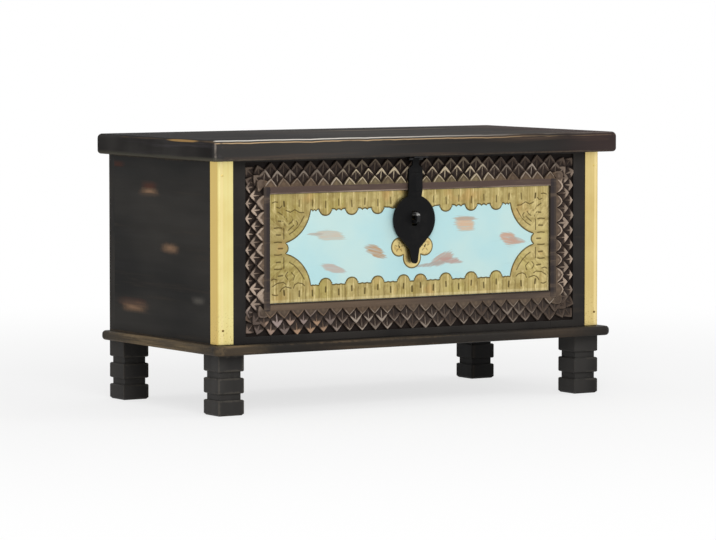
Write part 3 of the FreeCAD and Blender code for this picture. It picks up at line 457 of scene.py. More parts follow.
# across share, outward share, height in mm, how far a light rubbing bares it, how far a deep one does
VEINED_SHARES = (
    (0.00, 1.00, -0.9, 0.35, 0.35), (0.34, 0.72, -0.9, 0.35, 0.35), (0.69, 0.37, -1.0, 0.32, 0.25),
    (1.00, 0.00, -1.4, 0.25, 0.10), (0.00, 0.90, 0.0, 1.00, 1.00), (0.31, 0.63, 0.0, 0.97, 0.92),
    (0.63, 0.30, -0.2, 0.90, 0.62), (0.92, -0.02, -0.8, 0.60, 0.12), (0.00, 0.56, -0.6, 0.66, 0.88),
    (0.22, 0.40, -0.8, 0.54, 0.74), (0.48, 0.12, -1.2, 0.42, 0.38), (0.80, -0.14, -1.8, 0.15, 0.05),
    (0.16, 0.34, -2.4, 0.12, 0.42), (0.34, 0.09, -2.7, 0.06, 0.12), (0.62, -0.16, -2.9, 0.05, 0.05),
    (0.00, 0.44, -0.9, 0.92, 0.86), (0.00, -0.35, -1.8, 0.78, 0.60), (0.17, -0.40, -3.5, 0.05, 0.05),
    (0.80, -0.20, -4.3, 0.00, 0.00), (0.00, -1.00, -4.3, 0.00, 0.00),
)
VEINED_FACES = (
    (0, 1, 5, 4), (1, 2, 6, 5), (2, 3, 7, 6), (4, 5, 9, 8), (5, 6, 10, 9), (6, 7, 11, 10), (8, 9, 12, 15),
    (9, 10, 13, 12), (10, 11, 14, 13), (15, 12, 17, 16), (12, 13, 17), (13, 14, 18, 17), (7, 3, 18, 14, 11),
    (16, 17, 19), (17, 18, 19),
)
VEINED_RIM = (0, 1, 2, 3, 18, 19)
PLAIN_SHARES = (
    (0.00, 1.00, -1.0, 0.40, 0.5), (0.36, 0.70, -1.0, 0.40, 0.5), (0.72, 0.34, -1.0, 0.38, 0.5),
    (1.00, 0.00, -1.0, 0.36, 0.6), (0.00, 0.91, 0.0, 1.00, 0.9), (0.33, 0.62, 0.0, 0.96, 0.9),
    (0.65, 0.29, 0.0, 0.84, 0.9), (0.91, -0.02, 0.0, 0.46, 0.8), (0.00, 0.72, -0.5, 0.34, 0.4),
    (0.25, 0.46, -0.5, 0.34, 0.4), (0.50, 0.20, -0.5, 0.32, 0.5), (0.73, -0.06, -0.3, 0.34, 0.7),
    (0.00, -0.12, -0.1, 0.30, 0.8), (0.98, -0.12, -0.1, 0.30, 0.8), (0.00, 0.34, -0.1, 0.46, 1.0),
)
PLAIN_FACES = (
    (0, 1, 5, 4), (1, 2, 6, 5), (2, 3, 7, 6), (4, 5, 9, 8), (5, 6, 10, 9), (6, 7, 11, 10), (8, 9, 14), (9, 10, 14),
    (10, 11, 12, 14), (7, 3, 13), (11, 7, 13, 12),
)
PLAIN_RIM = (0, 1, 2, 3, 13, 12)


def scale_pattern(name, shares, faces, rim, bulge):
    """One scale, a closed chip of wood: half of it is given, and the other half mirrors it."""
    scale = bmesh.new()
    layers = [scale.verts.layers.float.new(layer) for layer in ("ridge", "fill")]
    corners = {}

    def corner(side, index, foot=False):
        """A corner of one half, or of its foot below; both halves share those on the middle line."""
        across, out, height, *rubbing = shares[index]
        key = (across * side, index, foot)
        if key not in corners:
            out += bulge * across * (1 - across)
            corners[key] = scale.verts.new((across * side * SCALE_SHRINK, out * SCALE_SHRINK,
                                            SCALE_FOOT if foot else height * MM))
            for layer, share in zip(layers, () if foot else rubbing):
                corners[key][layer] = share
        return corners[key]

    for side in (1, -1):
        for face in faces:
            scale.faces.new([corner(side, index) for index in face])
        for near, far in zip(rim, rim[1:]):
            scale.faces.new((corner(side, near), corner(side, far), corner(side, far, True), corner(side, near, True)))
    scale.faces.new([corner(1, index, True) for index in rim] + [corner(-1, index, True) for index in rim[-2:0:-1]])
    bmesh.ops.recalc_face_normals(scale, faces=scale.faces)
    return bpy.data.objects.new(name, mesh_of(name, scale))


# name, shape, how far its flanks bulge, and between which rows it is used
SCALE_PATTERNS = (
    ("Veined scale", VEINED_SHARES, VEINED_FACES, VEINED_RIM, 0.0, (0.5, 9.0)),
    ("Plain scale", PLAIN_SHARES, PLAIN_FACES, PLAIN_RIM, 0.0, (-0.5, 0.5)),
    ("Round scale", PLAIN_SHARES, PLAIN_FACES, PLAIN_RIM, 0.7, (-9.0, -0.5)),
)
patterns = {name: scale_pattern(name, *shape) for name, *shape, _ in SCALE_PATTERNS}

# across, up, turn about the face's normal, half width, half height, row
scale_places = []
LEVEL_RUN = 2 * 277.5 * MM
LEVEL_COUNT = 22
UPRIGHT_COUNT = 8
ROUND_ROW = -1
# each row of a band: how far out it starts, and how far its scales reach from there, in mm
TOP_ROWS = ((0.0, 13.8), (14.2, 14.2), (27.8, 13.6))
LOW_ROWS = ((0.0, 12.5), (13.0, 14.0), (26.5, 13.5))
SIDE_ROWS = ((0.0, 14.0), (12.5, 13.2), (25.5, 9.5))
for turn, outward, height, rows in ((0.0, 1, BAND_HIGH, TOP_ROWS), (math.pi, -1, BAND_LOW, LOW_ROWS)):
    step = LEVEL_RUN / LEVEL_COUNT
    for row, (start, reach) in enumerate(rows):
        odd = row % 2
        for place in range(-odd, LEVEL_COUNT + 1):
            x = (place + odd / 2) * step - LEVEL_RUN / 2
            scale_places.append((x, height + outward * start * MM, turn, step / 2, reach * MM, row))
# the right side starts between two round scales, the left side on a pointed one
for side, first_row in ((1, ROUND_ROW), (-1, 0)):
    step = (BAND_HIGH - BAND_LOW) / UPRIGHT_COUNT
    for row, (start, reach) in enumerate(SIDE_ROWS):
        between = (row % 2 == 0) == (side > 0)
        ends = 0.5 if between else 1 if row == 0 else 0
        for place in range(round(UPRIGHT_COUNT - 2 * ends) + 1):
            scale_places.append((side * (BAND_X + start * MM), BAND_LOW + (ends + place) * step, side * math.pi / 2,
                                 step / 2, reach * MM, row or first_row))
# the fan that turns each corner: distance from the inner corner in rises, share of the turn, size, row
FAN_RISE = 13.8 * MM
CORNER_FAN_SHARES = ((0.1, 0.5, 0.95, ROUND_ROW), (1.05, 0.5, 1.0, 1), (1.95, 0.22, 0.9, 2), (1.95, 0.78, 0.8, 2),
                     (2.65, 0.5, 0.85, 2))
for side in (1, -1):
    for end, height in ((1, BAND_HIGH), (-1, BAND_LOW)):
        for rises, share, size, row in CORNER_FAN_SHARES:
            angle = share * math.pi / 2
            reach = rises * FAN_RISE
            x = side * (BAND_X + reach * math.sin(angle))
            z = height + end * reach * math.cos(angle)
            turn = side * (angle if end > 0 else math.pi - angle)
            scale_places.append((x, z, turn, size * SCALE_PITCH / 2, size * FAN_RISE, row))

centres = bpy.data.meshes.new("carved_scales")
centres.from_pydata([(x, FRONT_Y, z) for x, z, *_ in scale_places], [], [])
for index, name in enumerate(("turn", "half_width", "half_height", "row"), 2):
    layer = centres.attributes.new(name, "FLOAT", "POINT")
    layer.data.foreach_set("value", [place[index] for place in scale_places])
carved_scales = shown("carved_scales", centres)

carved_wood = Finish("carved_wood")
hand, row, fill, ridge = (carved_wood.attribute(name) for name in ("hand", "row", "fill", "ridge"))
carved_x, carved_z = carved_wood.x, carved_wood.z
carved_speck = carved_wood.place.noise(260.0)
carved_broad = carved_wood.place.noise(14.0)
patchy = carved_wood.place.noise(95.0, 2.0)
top_middle = rub(carved_x, carved_z, (0.0, 0.392), (0.17, 0.04), 0.0)
low_left = rub(carved_x, carved_z, (-0.27, 0.15), (0.14, 0.045), 0.0)
low_right = rub(carved_x, carved_z, (0.17, 0.15), (0.24, 0.045), 0.0)
past_side = abs(carved_x) - BAND_X
past_top = carved_z - BAND_HIGH
past_ends = past_top.most(BAND_LOW - carved_z)
at_sides = past_side.ramp(-0.003, 0.005) * (carved_z - BAND_LOW).ramp(-0.012, 0.02)
at_corner = past_side.ramp(-0.006, 0.001) * past_ends.ramp(-0.006, 0.001)
far_left = carved_x.ramp(-0.08, -0.2) * past_top.ramp(-0.004, 0.006)
veined = row.ramp(0.4, 0.6)
ridge = ridge + (fill - ridge) * veined * at_sides.most(low_left)
ridge = ridge + (1 - veined) * at_sides * carved_x.ramp(0.0, -0.1) * (0.4 - fill * 0.5)
worn = 0.40 + top_middle * 0.12 + low_left * 0.30 + at_sides * 0.42 - low_right * 0.12
worn = worn + (carved_broad - 0.5) * 0.5 + (hand - 0.5) * 0.6 + (patchy - 0.5) * 0.7
bare = (ridge + (carved_speck - 0.5) * 0.25 + worn * 0.5).ramp(0.82, 1.06)
lid_shade = row.ramp(1.4, 1.6) * carved_z.ramp(0.38, 0.392)
dull_start = row.ramp(0.6, 0.4) * low_left
paleness = (0.68 + top_middle * 0.34 - low_left * 0.06 + at_sides * 0.12 - at_corner * 0.5 - far_left * 0.2
            - low_right * 0.3 + ((hand * 7.3).fraction() - 0.5) * 0.6)
paleness = (paleness * (1 - lid_shade * 0.8 - dull_start * 0.6)).most(0.1).least(1.0)
lobe_share = fill * (1 - veined) * (0.35 + carved_broad * 0.4 + patchy.ramp(0.3, 0.7) * 0.3) * (1 - at_corner * 0.5)
pale_tone = carved_wood.cover(
    (176, 162, 148),
    ((200, 184, 156), top_middle),
    (carved_wood.mix((194, 158, 128), (170, 152, 146), hand.ramp(0.35, 0.65)), low_left),
    ((186, 166, 148), at_sides))
lobe_tone = carved_wood.cover(
    (118, 98, 78),
    ((152, 138, 100), top_middle * (0.4 + hand * 0.6)),
    ((126, 107, 90), at_sides),
    ((112, 96, 80), low_left.most(low_right)))
carved_tone = carved_wood.cover(
    (38, 31, 27),
    ((55, 45, 40), carved_broad),
    ((62, 54, 49), low_right.most(low_left * 0.6) * 0.7),
    ((84, 70, 60), ridge.ramp(0.1, 0.6) * 0.7),
    (lobe_tone, lobe_share),
    (pale_tone, bare * paleness))
carved_wood.set(Base_Color=carved_tone, Roughness=0.62 - bare * 0.1, Specular_IOR_Level=0.12)
carved_wood.bump(carved_speck, 0.2, 0.0004)

scale_tree = bpy.data.node_groups.new("rows_of_scales", "GeometryNodeTree")
SCALE_INPUTS = (
    ("Centres", "Geometry", None),
    *((name, "Object", pattern) for name, pattern in patterns.items()),
    ("Uneven turn", "Float", math.radians(5.0)),
    ("Uneven lean", "Float", math.radians(2.0)),
    ("Uneven size", "Float", 0.10),
    ("Uneven place", "Float", 0.9 * MM),
    ("Seed", "Int", 11),
    ("Wood", "Material", carved_wood.material),
)
scale_sockets = {}
for name, kind, _ in SCALE_INPUTS:
    scale_sockets[name] = scale_tree.interface.new_socket(
        name=name, in_out="INPUT", socket_type=f"NodeSocket{kind}").identifier
scale_tree.interface.new_socket(name="Scales", in_out="OUTPUT", socket_type="NodeSocketGeometry")
given = scale_tree.nodes.new("NodeGroupInput")
wanted = scale_tree.nodes.new("NodeGroupOutput")
scales = Value(scale_tree)
asked = {name: Value(scale_tree, given.outputs[name]) for name in scale_sockets}


def named(name):
    return scales.node("GeometryNodeInputNamedAttribute", {"Name": name}, data_type="FLOAT")


def chance(shift, low=-1.0):
    """A random number up to 1 for each scale, from the seed and a shift of its own."""
    return scales.node("FunctionNodeRandomValue", {2: low, 3: 1.0, 8: asked["Seed"] + shift}, 1, data_type="FLOAT")


turned = named("turn") + chance(1) * asked["Uneven turn"]
leaned = math.pi / 2 + chance(2) * asked["Uneven lean"]
sized = 1 + chance(3) * asked["Uneven size"]
facing = scales.joined(leaned, turned, 0.0)
grown = scales.joined(named("half_width") * sized, named("half_height") * sized, 1.0)
shifted = scales.joined(chance(5) * asked["Uneven place"], 0.0, chance(6) * asked["Uneven place"])
moved = scales.node("GeometryNodeSetPosition", {"Geometry": asked["Centres"], "Offset": shifted})
laid = scale_tree.nodes.new("GeometryNodeJoinGeometry")
for name, *_, (low, high) in SCALE_PATTERNS:
    chosen = scales.math("GREATER_THAN", named("row"), low) * scales.math("LESS_THAN", named("row"), high)
    shape = scales.node("GeometryNodeObjectInfo", {"Object": asked[name]}, "Geometry")
    rows = scales.node("GeometryNodeInstanceOnPoints", {
        "Points": moved, "Selection": chosen, "Instance": shape, "Rotation": facing, "Scale": grown})
    scale_tree.links.new(rows.socket, laid.inputs[0])
marked = scales.node("GeometryNodeStoreNamedAttribute", {
    "Geometry": Value(scale_tree, laid.outputs[0]), "Name": "hand", "Value": chance(4, 0.0)},
    data_type="FLOAT", domain="INSTANCE")
real = scales.node("GeometryNodeRealizeInstances", {"Geometry": marked})
finished = scales.node("GeometryNodeSetMaterial", {"Geometry": real, "Material": asked["Wood"]})
scale_tree.links.new(finished.socket, wanted.inputs[0])

# the tree is run once; what it makes is kept as a plain mesh and the tree is taken off again
grower = carved_scales.modifiers.new(scale_tree.name, "NODES")
grower.node_group = scale_tree
for name, _, value in SCALE_INPUTS:
    if value is not None:
        grower[scale_sockets[name]] = value
bpy.context.view_layer.update()
grown_scales = carved_scales.evaluated_get(bpy.context.evaluated_depsgraph_get())
carved_mesh = bpy.data.meshes.new_from_object(grown_scales)
carved_scales.modifiers.remove(grower)
carved_scales.data = carved_mesh
for pattern in patterns.values():
    bpy.data.objects.remove(pattern)
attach(carved_scales, "chest")

# Front panel: a thin board in the frame, painted a chalky turquoise.
# The paint is rubbed through along the grain in six places, to grey, tan and pink wood.
panel = Finish("turquoise_paint")
panel_grain = panel.streaks((9.0, 60.0, 120.0), 4.0, 0.6)
panel_speck = panel.place.noise(300.0, 2.0)
panel_tone = panel.cover(
    (188, 227, 230),
    ((202, 231, 228), panel.place.noise(11.0).ramp(0.3, 0.7)),
    ((178, 212, 212), panel_grain.ramp(0.6, 0.85) * 0.4))
RUB_EDGE = (168, 166, 158)
# centre, reach, lean, slope of the streaks, bared colour
PANEL_RUBS = (
    ((-0.163, 0.2890), (0.025, 0.0088), 0.35, 0.0, (204, 192, 174)),
    ((-0.190, 0.2915), (0.015, 0.0022), 0.0, 0.0, (186, 178, 166)),
    ((-0.071, 0.2575), (0.0150, 0.0116), 0.70, -0.25, (188, 150, 112)),
    ((-0.155, 0.2335), (0.0165, 0.0085), 0.80, -0.1, (194, 180, 170)),
    ((0.1065, 0.3000), (0.0185, 0.0116), 0.20, 0.0, (216, 182, 150)),
    ((0.107, 0.3080), (0.021, 0.0034), 0.0, 0.0, (188, 168, 150)),
    ((0.196, 0.2710), (0.0155, 0.0115), 0.45, -0.2, (204, 162, 138)),
    ((0.211, 0.2680), (0.0135, 0.0056), 0.60, -0.3, (198, 164, 146)),
    ((0.061, 0.2425), (0.0170, 0.0112), -0.70, 0.5, (190, 164, 150)),
    ((0.078, 0.2385), (0.0190, 0.0056), 0.50, 0.2, (188, 156, 146)),
    ((0.042, 0.2340), (0.0210, 0.0040), -0.90, 0.4, (176, 166, 158)),
)
panel_bare = 0.0
for centre, reach, lean, slope, tone in PANEL_RUBS:
    brushed = panel.start.joined(panel.x * 16, 0.0, (panel.z - panel.x * slope) * 380).noise(1.0, 3.0, 0.6)
    patch = rub(panel.x, panel.z, centre, reach, (panel_grain - 0.5) * 0.8 + (brushed - 0.5) * 1.7, lean, 0.8)
    patch_tone = panel.mix(RUB_EDGE, tone, patch.ramp(0.15, 0.8) * brushed.ramp(0.22, 0.5))
    patch = patch * (0.55 + brushed.ramp(0.32, 0.56) * 0.4)
    panel_tone = panel.mix(panel_tone, patch_tone, patch)
    panel_bare = patch.most(panel_bare)
panel.set(Base_Color=panel_tone, Roughness=0.62 + (panel_grain - 0.5) * 0.15, Specular_IOR_Level=0.3)
panel.bump(panel_grain * 0.6 + panel_speck * 0.2 - panel_bare * 0.6, 0.2, 0.0005)
dress("front_panel", panel.material)

# Brass border: thin sheet with a scalloped window, nailed over the panel and chased with a chisel.
# Petals, dashes and leaves are cut into it, and its window edge is beaten down and dark.
EDGE_TURN = 3.4 * MM
EDGE_DROP = 0.45 * MM
CHASE_DEPTH = 0.45 * MM
LINE_HALF = 2.0 * MM
DASH_HALF = 2.7 * MM


def sheet_outlines(node):
    """The closed outlines of a sheet's front face, each as points across and up."""
    mesh = nodes[node].data
    front = min(vertex.co.y for vertex in mesh.vertices)
    seen = {}
    for polygon in mesh.polygons:
        points = [mesh.vertices[index].co for index in polygon.vertices]
        if max(point.y for point in points) - front > SAME_PLACE:
            continue
        for step in around([(round(point.x, 6), round(point.z, 6)) for point in points]):
            seen[step] = True
    onward = {first: second for first, second in seen if (second, first) not in seen}
    outlines = []
    while onward:
        here = next(iter(onward))
        loop = []
        while here in onward:
            loop.append(Vector(here))
            here = onward.pop(here)
        outlines.append(loop)
    return front, outlines


def inset(loop, reach):
    """The same outline a little further into the sheet."""
    moved = []
    for before, here, after in zip(loop[-1:] + loop[:-1], loop, loop[1:] + loop[:1]):
        way = (here - before).normalized() + (after - here).normalized()
        moved.append(here + Vector((-way.y, way.x)).normalized() * reach)
    return moved


def cut_line(points, half, depth):
    """A chisel cut along points: its two banks and the bottom between them, pinched at the ends."""
    left, right = [], []
    for before, here, after in zip(points[:1] + points, points, points[1:] + points[-1:]):
        way = (after - before).normalized()
        side = Vector((-way.y, way.x)) * half
        left.append(here + side)
        right.append(here - side)
    start = points[0] - (points[1] - points[0]).normalized() * half
    end = points[-1] + (points[-1] - points[-2]).normalized() * half
    return [start, *left, end, *reversed(right)], points, depth


border_low, border_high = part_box("brass_border")
PANEL_MID = (border_low.z + border_high.z) / 2
WINDOW_HALF = 62 * MM
PETAL_FIRST = 17 * MM
PETAL_STEP = 25.5 * MM
SIDE_STEP = 22.4 * MM
SCALLOP_REACH = 11 * MM
SCALLOP_COUNT = 4
SCALLOP_WIDER = 1.3
# how far from the middle the window's level edges lie, and how low its top edge is cut
LEVEL_EDGE = (48 * MM, 75 * MM)
TOP_EDGE = 61.5 * MM
# how long the straight run between two scallops is, and how much weaker the cusps are on the bottom one
SCALLOP_GAP = (12 * MM, 60 * MM)
LOW_CUSPS = 0.35
# share of the way between two scallops, and how far the sheet stands out there into the window in mm
HAND_CUT_SHARES = ((0.14, 0.4), (0.28, 2.6), (0.40, 1.0), (0.52, 0.2), (0.64, 1.2), (0.75, 2.6), (0.88, 0.4))


def hand_cut(loop):
    """The window is cut by eye: blunt scallops, a low top edge, and small cusps between the scallops."""
    eased = []
    for point in loop:
        place = max(0, min(round((abs(point.x) - PETAL_FIRST) / (2 * PETAL_STEP)), SCALLOP_COUNT - 1))
        centre = math.copysign(PETAL_FIRST + 2 * PETAL_STEP * place, point.x)
        x, up = point.x, point.y - PANEL_MID
        if LEVEL_EDGE[0] < abs(up) < LEVEL_EDGE[1]:
            if abs(x - centre) < SCALLOP_REACH:
                x = centre + (x - centre) * SCALLOP_WIDER
            up = min(up, TOP_EDGE)
        eased.append(Vector((x, PANEL_MID + up)))
    cut = []
    for here, after in around(eased):
        cut.append(here)
        run = after - here
        if SCALLOP_GAP[0] < run.length < SCALLOP_GAP[1] and abs(run.y) < SAME_PLACE:
            side = Vector((run.y, -run.x)).normalized() * (1.0 if here.y > PANEL_MID else LOW_CUSPS)
            cut.extend(here + run * share + side * depth * MM for share, depth in HAND_CUT_SHARES)
    return cut


def within(place, loop):
    """Whether a place lies inside a closed outline."""
    odd = False
    for first, second in around(loop):
        if (first.y > place.y) != (second.y > place.y):
            crossing = first.x + (place.y - first.y) / (second.y - first.y) * (second.x - first.x)
            odd ^= place.x < crossing
    return odd


def chased_sheet(name, node, cuts, turned_edges):
    """A brass sheet with the node's outline, its edges turned down and the cuts sunk into it."""
    front, outlines = sheet_outlines(node)
    outlines = [hand_cut(loop) for loop in outlines]
    back = max(vertex.co.y for vertex in nodes[node].data.vertices)
    points, edges, depths = [], [], []

    def add(loop, depth, closed=True):
        start = len(points)
        points.extend(loop)
        depths.extend([depth] * len(loop))
        last = len(loop) if closed else len(loop) - 1
        edges.extend((start + step, start + (step + 1) % len(loop)) for step in range(last))

    for loop in outlines:
        turned = turned_edges(loop)
        add(loop, EDGE_DROP if turned else 0.0)
        if turned:
            add(inset(loop, EDGE_TURN), 0.0)
    for bank, middle, depth in cuts:
        add(bank, 0.0)
        add(middle, depth, False)
    flat, _, faces, origins, _, _ = delaunay_2d_cdt(points, edges, [], 0, 1e-7)
    sheet = bmesh.new()
    engraved = sheet.verts.layers.float.new("engraved")
    fronts, backs = [], []
    for place, source in zip(flat, origins):
        depth = max((depths[index] for index in source), default=0.0)
        vert = sheet.verts.new((place.x, front + depth, place.y))
        vert[engraved] = depth / CHASE_DEPTH
        fronts.append(vert)
        backs.append(sheet.verts.new((place.x, back, place.y)))
    outer = max(outlines, key=lambda loop: max(point.x for point in loop))
    holes = [loop for loop in outlines if loop is not outer]
    rims = {}
    for face in faces:
        middle = sum((flat[index] for index in face), Vector((0, 0))) / len(face)
        if within(middle, outer) and not any(within(middle, hole) for hole in holes):
            sheet.faces.new([fronts[index] for index in face])
            sheet.faces.new([backs[index] for index in reversed(face)])
            for step in around(face):
                rims[step] = True
    for first, second in rims:
        if (second, first) not in rims:
            sheet.faces.new((fronts[second], fronts[first], backs[first], backs[second]))
    loose = [vert for vert in sheet.verts if not vert.link_faces]
    bmesh.ops.delete(sheet, geom=loose, context="VERTS")
    bmesh.ops.recalc_face_normals(sheet, faces=sheet.faces)
    return shown(name, mesh_of(name, sheet))


def brass(name, light, dark, streak, rough, shade):
    """Sheet brass, beaten and rubbed, shaded in its own way, with dark dirt left in its cuts."""
    finish = Finish(name)
    drawn = finish.streaks(streak, 4.0, 0.6)
    cloud = finish.place.noise(16.0)
    tone = shade(finish, finish.mix(light, dark, cloud.ramp(0.3, 0.75) * 0.6 + drawn.ramp(0.4, 0.8) * 0.4))
    dirt = finish.attribute("engraved").ramp(0.03, 0.75)
    finish.set(Base_Color=finish.mix(tone, (78, 64, 26), dirt * 0.92),
               Metallic=1 - dirt * 0.3, Roughness=rough + (drawn - 0.5) * 0.14 + dirt * 0.3)
    finish.bump(finish.place.noise(75.0, 2.0) * 0.8 + drawn * 0.2, 0.3, 0.0007)
    return finish.material


def dash(x, z, length, lean=0.0, depth=1.0):
    half = Vector((math.sin(lean), math.cos(lean))) * length / 2
    middle = Vector((x, z))
    ends = [middle - half, middle - half / 3, middle + half / 3, middle + half]
    return cut_line(ends, DASH_HALF, CHASE_DEPTH * depth)


def line(*places, depth=0.5):
    return cut_line([Vector(place) for place in places], LINE_HALF, CHASE_DEPTH * depth)


border_cuts = []
PETAL_COUNT = 9
PETAL_BEND = 0.8 * MM
# distance from the window and length of a petal's dash in mm, and its depth: fainter and longer on the top run
DASHES = {
    (1, True): (8, 11, 0.64), (1, False): (11, 10.5, 0.6),
    (-1, True): (8.5, 8.5, 0.8), (-1, False): (13.5, 9.5, 0.8),
}
FLANK_DEPTHS = {1: 0.2, -1: 0.4}
MIDDLE_RISE = 14 * MM
MIDDLE_DASH = 9.5 * MM
for end in (1, -1):
    edge = PANEL_MID + end * WINDOW_HALF
    for place in range(PETAL_COUNT):
        x = PETAL_FIRST + place * PETAL_STEP
        on_scallop = place % 2 == 0 and place < PETAL_COUNT - 1
        for side in (1, -1):
            lean = 0.06 * ((place * 7 + side) % 3 - 1)
            rise, length, depth = DASHES[end, on_scallop]
            border_cuts.append(dash(side * x, edge + end * rise * MM, length * MM, lean, depth))
            if place < PETAL_COUNT - 1:
                flank = x + PETAL_STEP / 2
                bent = flank - (PETAL_BEND if on_scallop else -PETAL_BEND)
                flank_line = ((flank, 7), (bent, 12), (flank, 22))
                border_cuts.append(line(*((side * out, edge + end * rise * MM) for out, rise in flank_line),
                                        depth=FLANK_DEPTHS[end]))
    border_cuts.append(dash(0.0, edge + end * MIDDLE_RISE, MIDDLE_DASH))
# cuts beside the end dashes and round the corner leaves: places across and out from the panel's middle, in mm
LEAF_EDGE = ((240, 23), (232, 27.5), (224, 34.5), (217, 43), (211.5, 52))
END_CUTS = (((254.5, 10), (262, 10.8), (269, 10)), ((254.5, 33.5), (262, 34.3), (269, 33.5)),
            ((250.5, 15), (250.5, 24), (250.5, 33)))
LEAF_CUTS = {
    1: (((262, 60), (255, 56), (245, 48)), ((246.5, 62.5), (238, 59), (229.5, 63), (220, 58), (212, 57.7)),
        ((242, 29.5), (236, 34), (231, 38)), ((241, 39.5), (236, 42.5), (233, 47)), ((227, 45), (224, 41), (225.5, 36)),
        ((248, 38), (252, 44), (250, 52)), ((264, 68), (258, 66), (254, 70)), ((262, 76), (267, 77), (273, 75))),
    -1: (((243, 39), (248, 45), (243, 51)), ((272, 62), (263.5, 57), (251.5, 55.7), (246.5, 59)),
         ((258, 70.7), (254, 65.7), (248, 63), (236.5, 65.7)),
         ((232, 66), (230, 60.6), (223.5, 57.5), (215, 59.2), (210.5, 63)),
         ((236, 40), (230, 46), (233, 53)), ((264, 51), (270, 49.5), (274, 51.5)), ((262, 76), (267, 77), (273, 75))),
}
LEAF_DEPTH = 0.7
END_DASHES_X = (257 * MM, 261 * MM)
END_DASH = 8.5 * MM
CORNER_DASH_X, CORNER_DASH_OUT, CORNER_DASH = 250 * MM, 73 * MM, 8 * MM
for side in (1, -1):
    for place in range(-2, 3):
        z = PANEL_MID + place * SIDE_STEP
        x = side * END_DASHES_X[place % 2]
        border_cuts.append(dash(x, z, END_DASH, math.pi / 2 + 0.05 * place, LEAF_DEPTH))
    for end in (1, -1):
        border_cuts.append(dash(side * CORNER_DASH_X, PANEL_MID + end * CORNER_DASH_OUT, CORNER_DASH, side * 0.1))
        for places in (LEAF_EDGE, *END_CUTS, *LEAF_CUTS[end]):
            border_cuts.append(line(*((side * x * MM, PANEL_MID + end * out * MM) for x, out in places),
                                    depth=LEAF_DEPTH))

# where the level runs take over from the upright ones, and how far beside its dash a petal's painted highlight lies
LEVEL_RUNS = (48 * MM, 56 * MM)
BESIDE_DASH = 4 * MM


def petal_shading(finish, tone):
    """Each petal's beaten relief is painted in: a painted highlight beside its dash, painted shade at its flanks, a
    painted highlight along the sheet's outer edge; darker towards the left end, paler towards the right, mottled all
    over.
    """
    out, up = abs(finish.x), abs(finish.z - PANEL_MID)
    mottle = finish.place.noise(110.0)
    tan = finish.place.noise(24.0)
    green = finish.place.stretched(1.0, 1.0, -1.0).noise(19.0)
    leaf = (out - 0.4 * up).ramp(0.195, 0.21) * up.ramp(0.014, 0.026) * up.ramp(0.074, 0.062)
    leaf_veins = finish.start.joined((out + up) * 60, finish.x * 9, (out - up) * 170).noise(1.0, 2.0)
    # painted highlight along the sheet's outer edge
    edge_highlight = out.ramp(0.2755, 0.277).most((finish.z - border_low.z).ramp(0.006, 0.003))
    level = up.ramp(*LEVEL_RUNS)
    striae = finish.start.joined(finish.x * 330, 0.0, finish.z * 14).noise(1.0, 2.0)
    wander = (mottle - 0.5) * 0.35
    along = (out - PETAL_FIRST) / PETAL_STEP
    upright = (finish.z - PANEL_MID) / SIDE_STEP
    # painted shade at each petal's flanks
    flank = abs((along * level + upright * (1 - level) + wander + 0.5).fraction() - 0.5)
    # painted highlight beside each dash
    dash_highlight = abs(((abs(finish.x - BESIDE_DASH) - PETAL_FIRST) / PETAL_STEP + wander * 0.3 + 0.5).fraction() - 0.5)
    spotted = finish.place.noise(60.0).ramp(0.4, 0.6)
    return finish.cover(
        tone,
        ((142, 122, 72), mottle.ramp(0.5, 0.72) * 0.55),
        ((212, 198, 138), mottle.ramp(0.46, 0.28) * 0.5),
        ((204, 160, 102), tan.ramp(0.54, 0.7) * 0.45),
        ((184, 176, 84), green.ramp(0.52, 0.68) * 0.22),
        ((124, 102, 54), leaf_veins.ramp(0.54, 0.66) * leaf * 0.6),
        ((226, 208, 150), leaf_veins.ramp(0.46, 0.34) * leaf * 0.5),
        ((226, 212, 164), edge_highlight * 0.5),
        # darker towards the left end, paler towards the right
        ((140, 124, 76), finish.x.ramp(-0.2, -0.26) * 0.3),
        ((218, 200, 142), finish.x.ramp(0.2, 0.26) * 0.3),
        ((142, 120, 60), striae.ramp(0.5, 0.66) * level * 0.5),
        ((228, 208, 146), striae.ramp(0.46, 0.32) * level * 0.3),
        ((138, 119, 68), flank.ramp(0.3, 0.5) * 0.4),
        ((234, 216, 160), dash_highlight.ramp(0.06, 0.015) * level * spotted * 0.7))


def is_window(loop):
    return max(point.x for point in loop) < border_high.x - EDGE_TURN


border = chased_sheet("chased_border", "brass_border", border_cuts, is_window)
border.data.materials.append(
    brass("chased_brass", (190, 173, 117), (164, 146, 93), (60.0, 60.0, 60.0), 0.4, petal_shading))
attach(border, "chest")
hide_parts("brass_border")

# Lock plate: a small brass trefoil on the panel, under the hasp's tip.
# Each side lobe has a punched flower, and its edge is beaten down like the border's.
LOBE_X, LOBE_Z = 25.5 * MM, 264.5 * MM
FLOWER_PETALS = 5
FLOWER_REACH = (4.5 * MM, 8.5 * MM)
# where the painted shade round the staple lies, and how far it reaches
STAPLE_SHADE_X, STAPLE_SHADE_Z = 2 * MM, 313 * MM
STAPLE_SHADE_REACH_X, STAPLE_SHADE_REACH_Z = 10 * MM, 16 * MM
plate_cuts = []
for side in (1, -1):
    plate_cuts.append(dash(side * LOBE_X, LOBE_Z + 1 * MM, 4.5 * MM, side * 0.4))
    for turn in range(FLOWER_PETALS):
        angle = turn * math.tau / FLOWER_PETALS + 0.3
        way = Vector((math.cos(angle), math.sin(angle)))
        near, far = (Vector((side * LOBE_X, LOBE_Z)) + way * reach for reach in FLOWER_REACH)
        plate_cuts.append(line(near, (near + far) / 2, far))


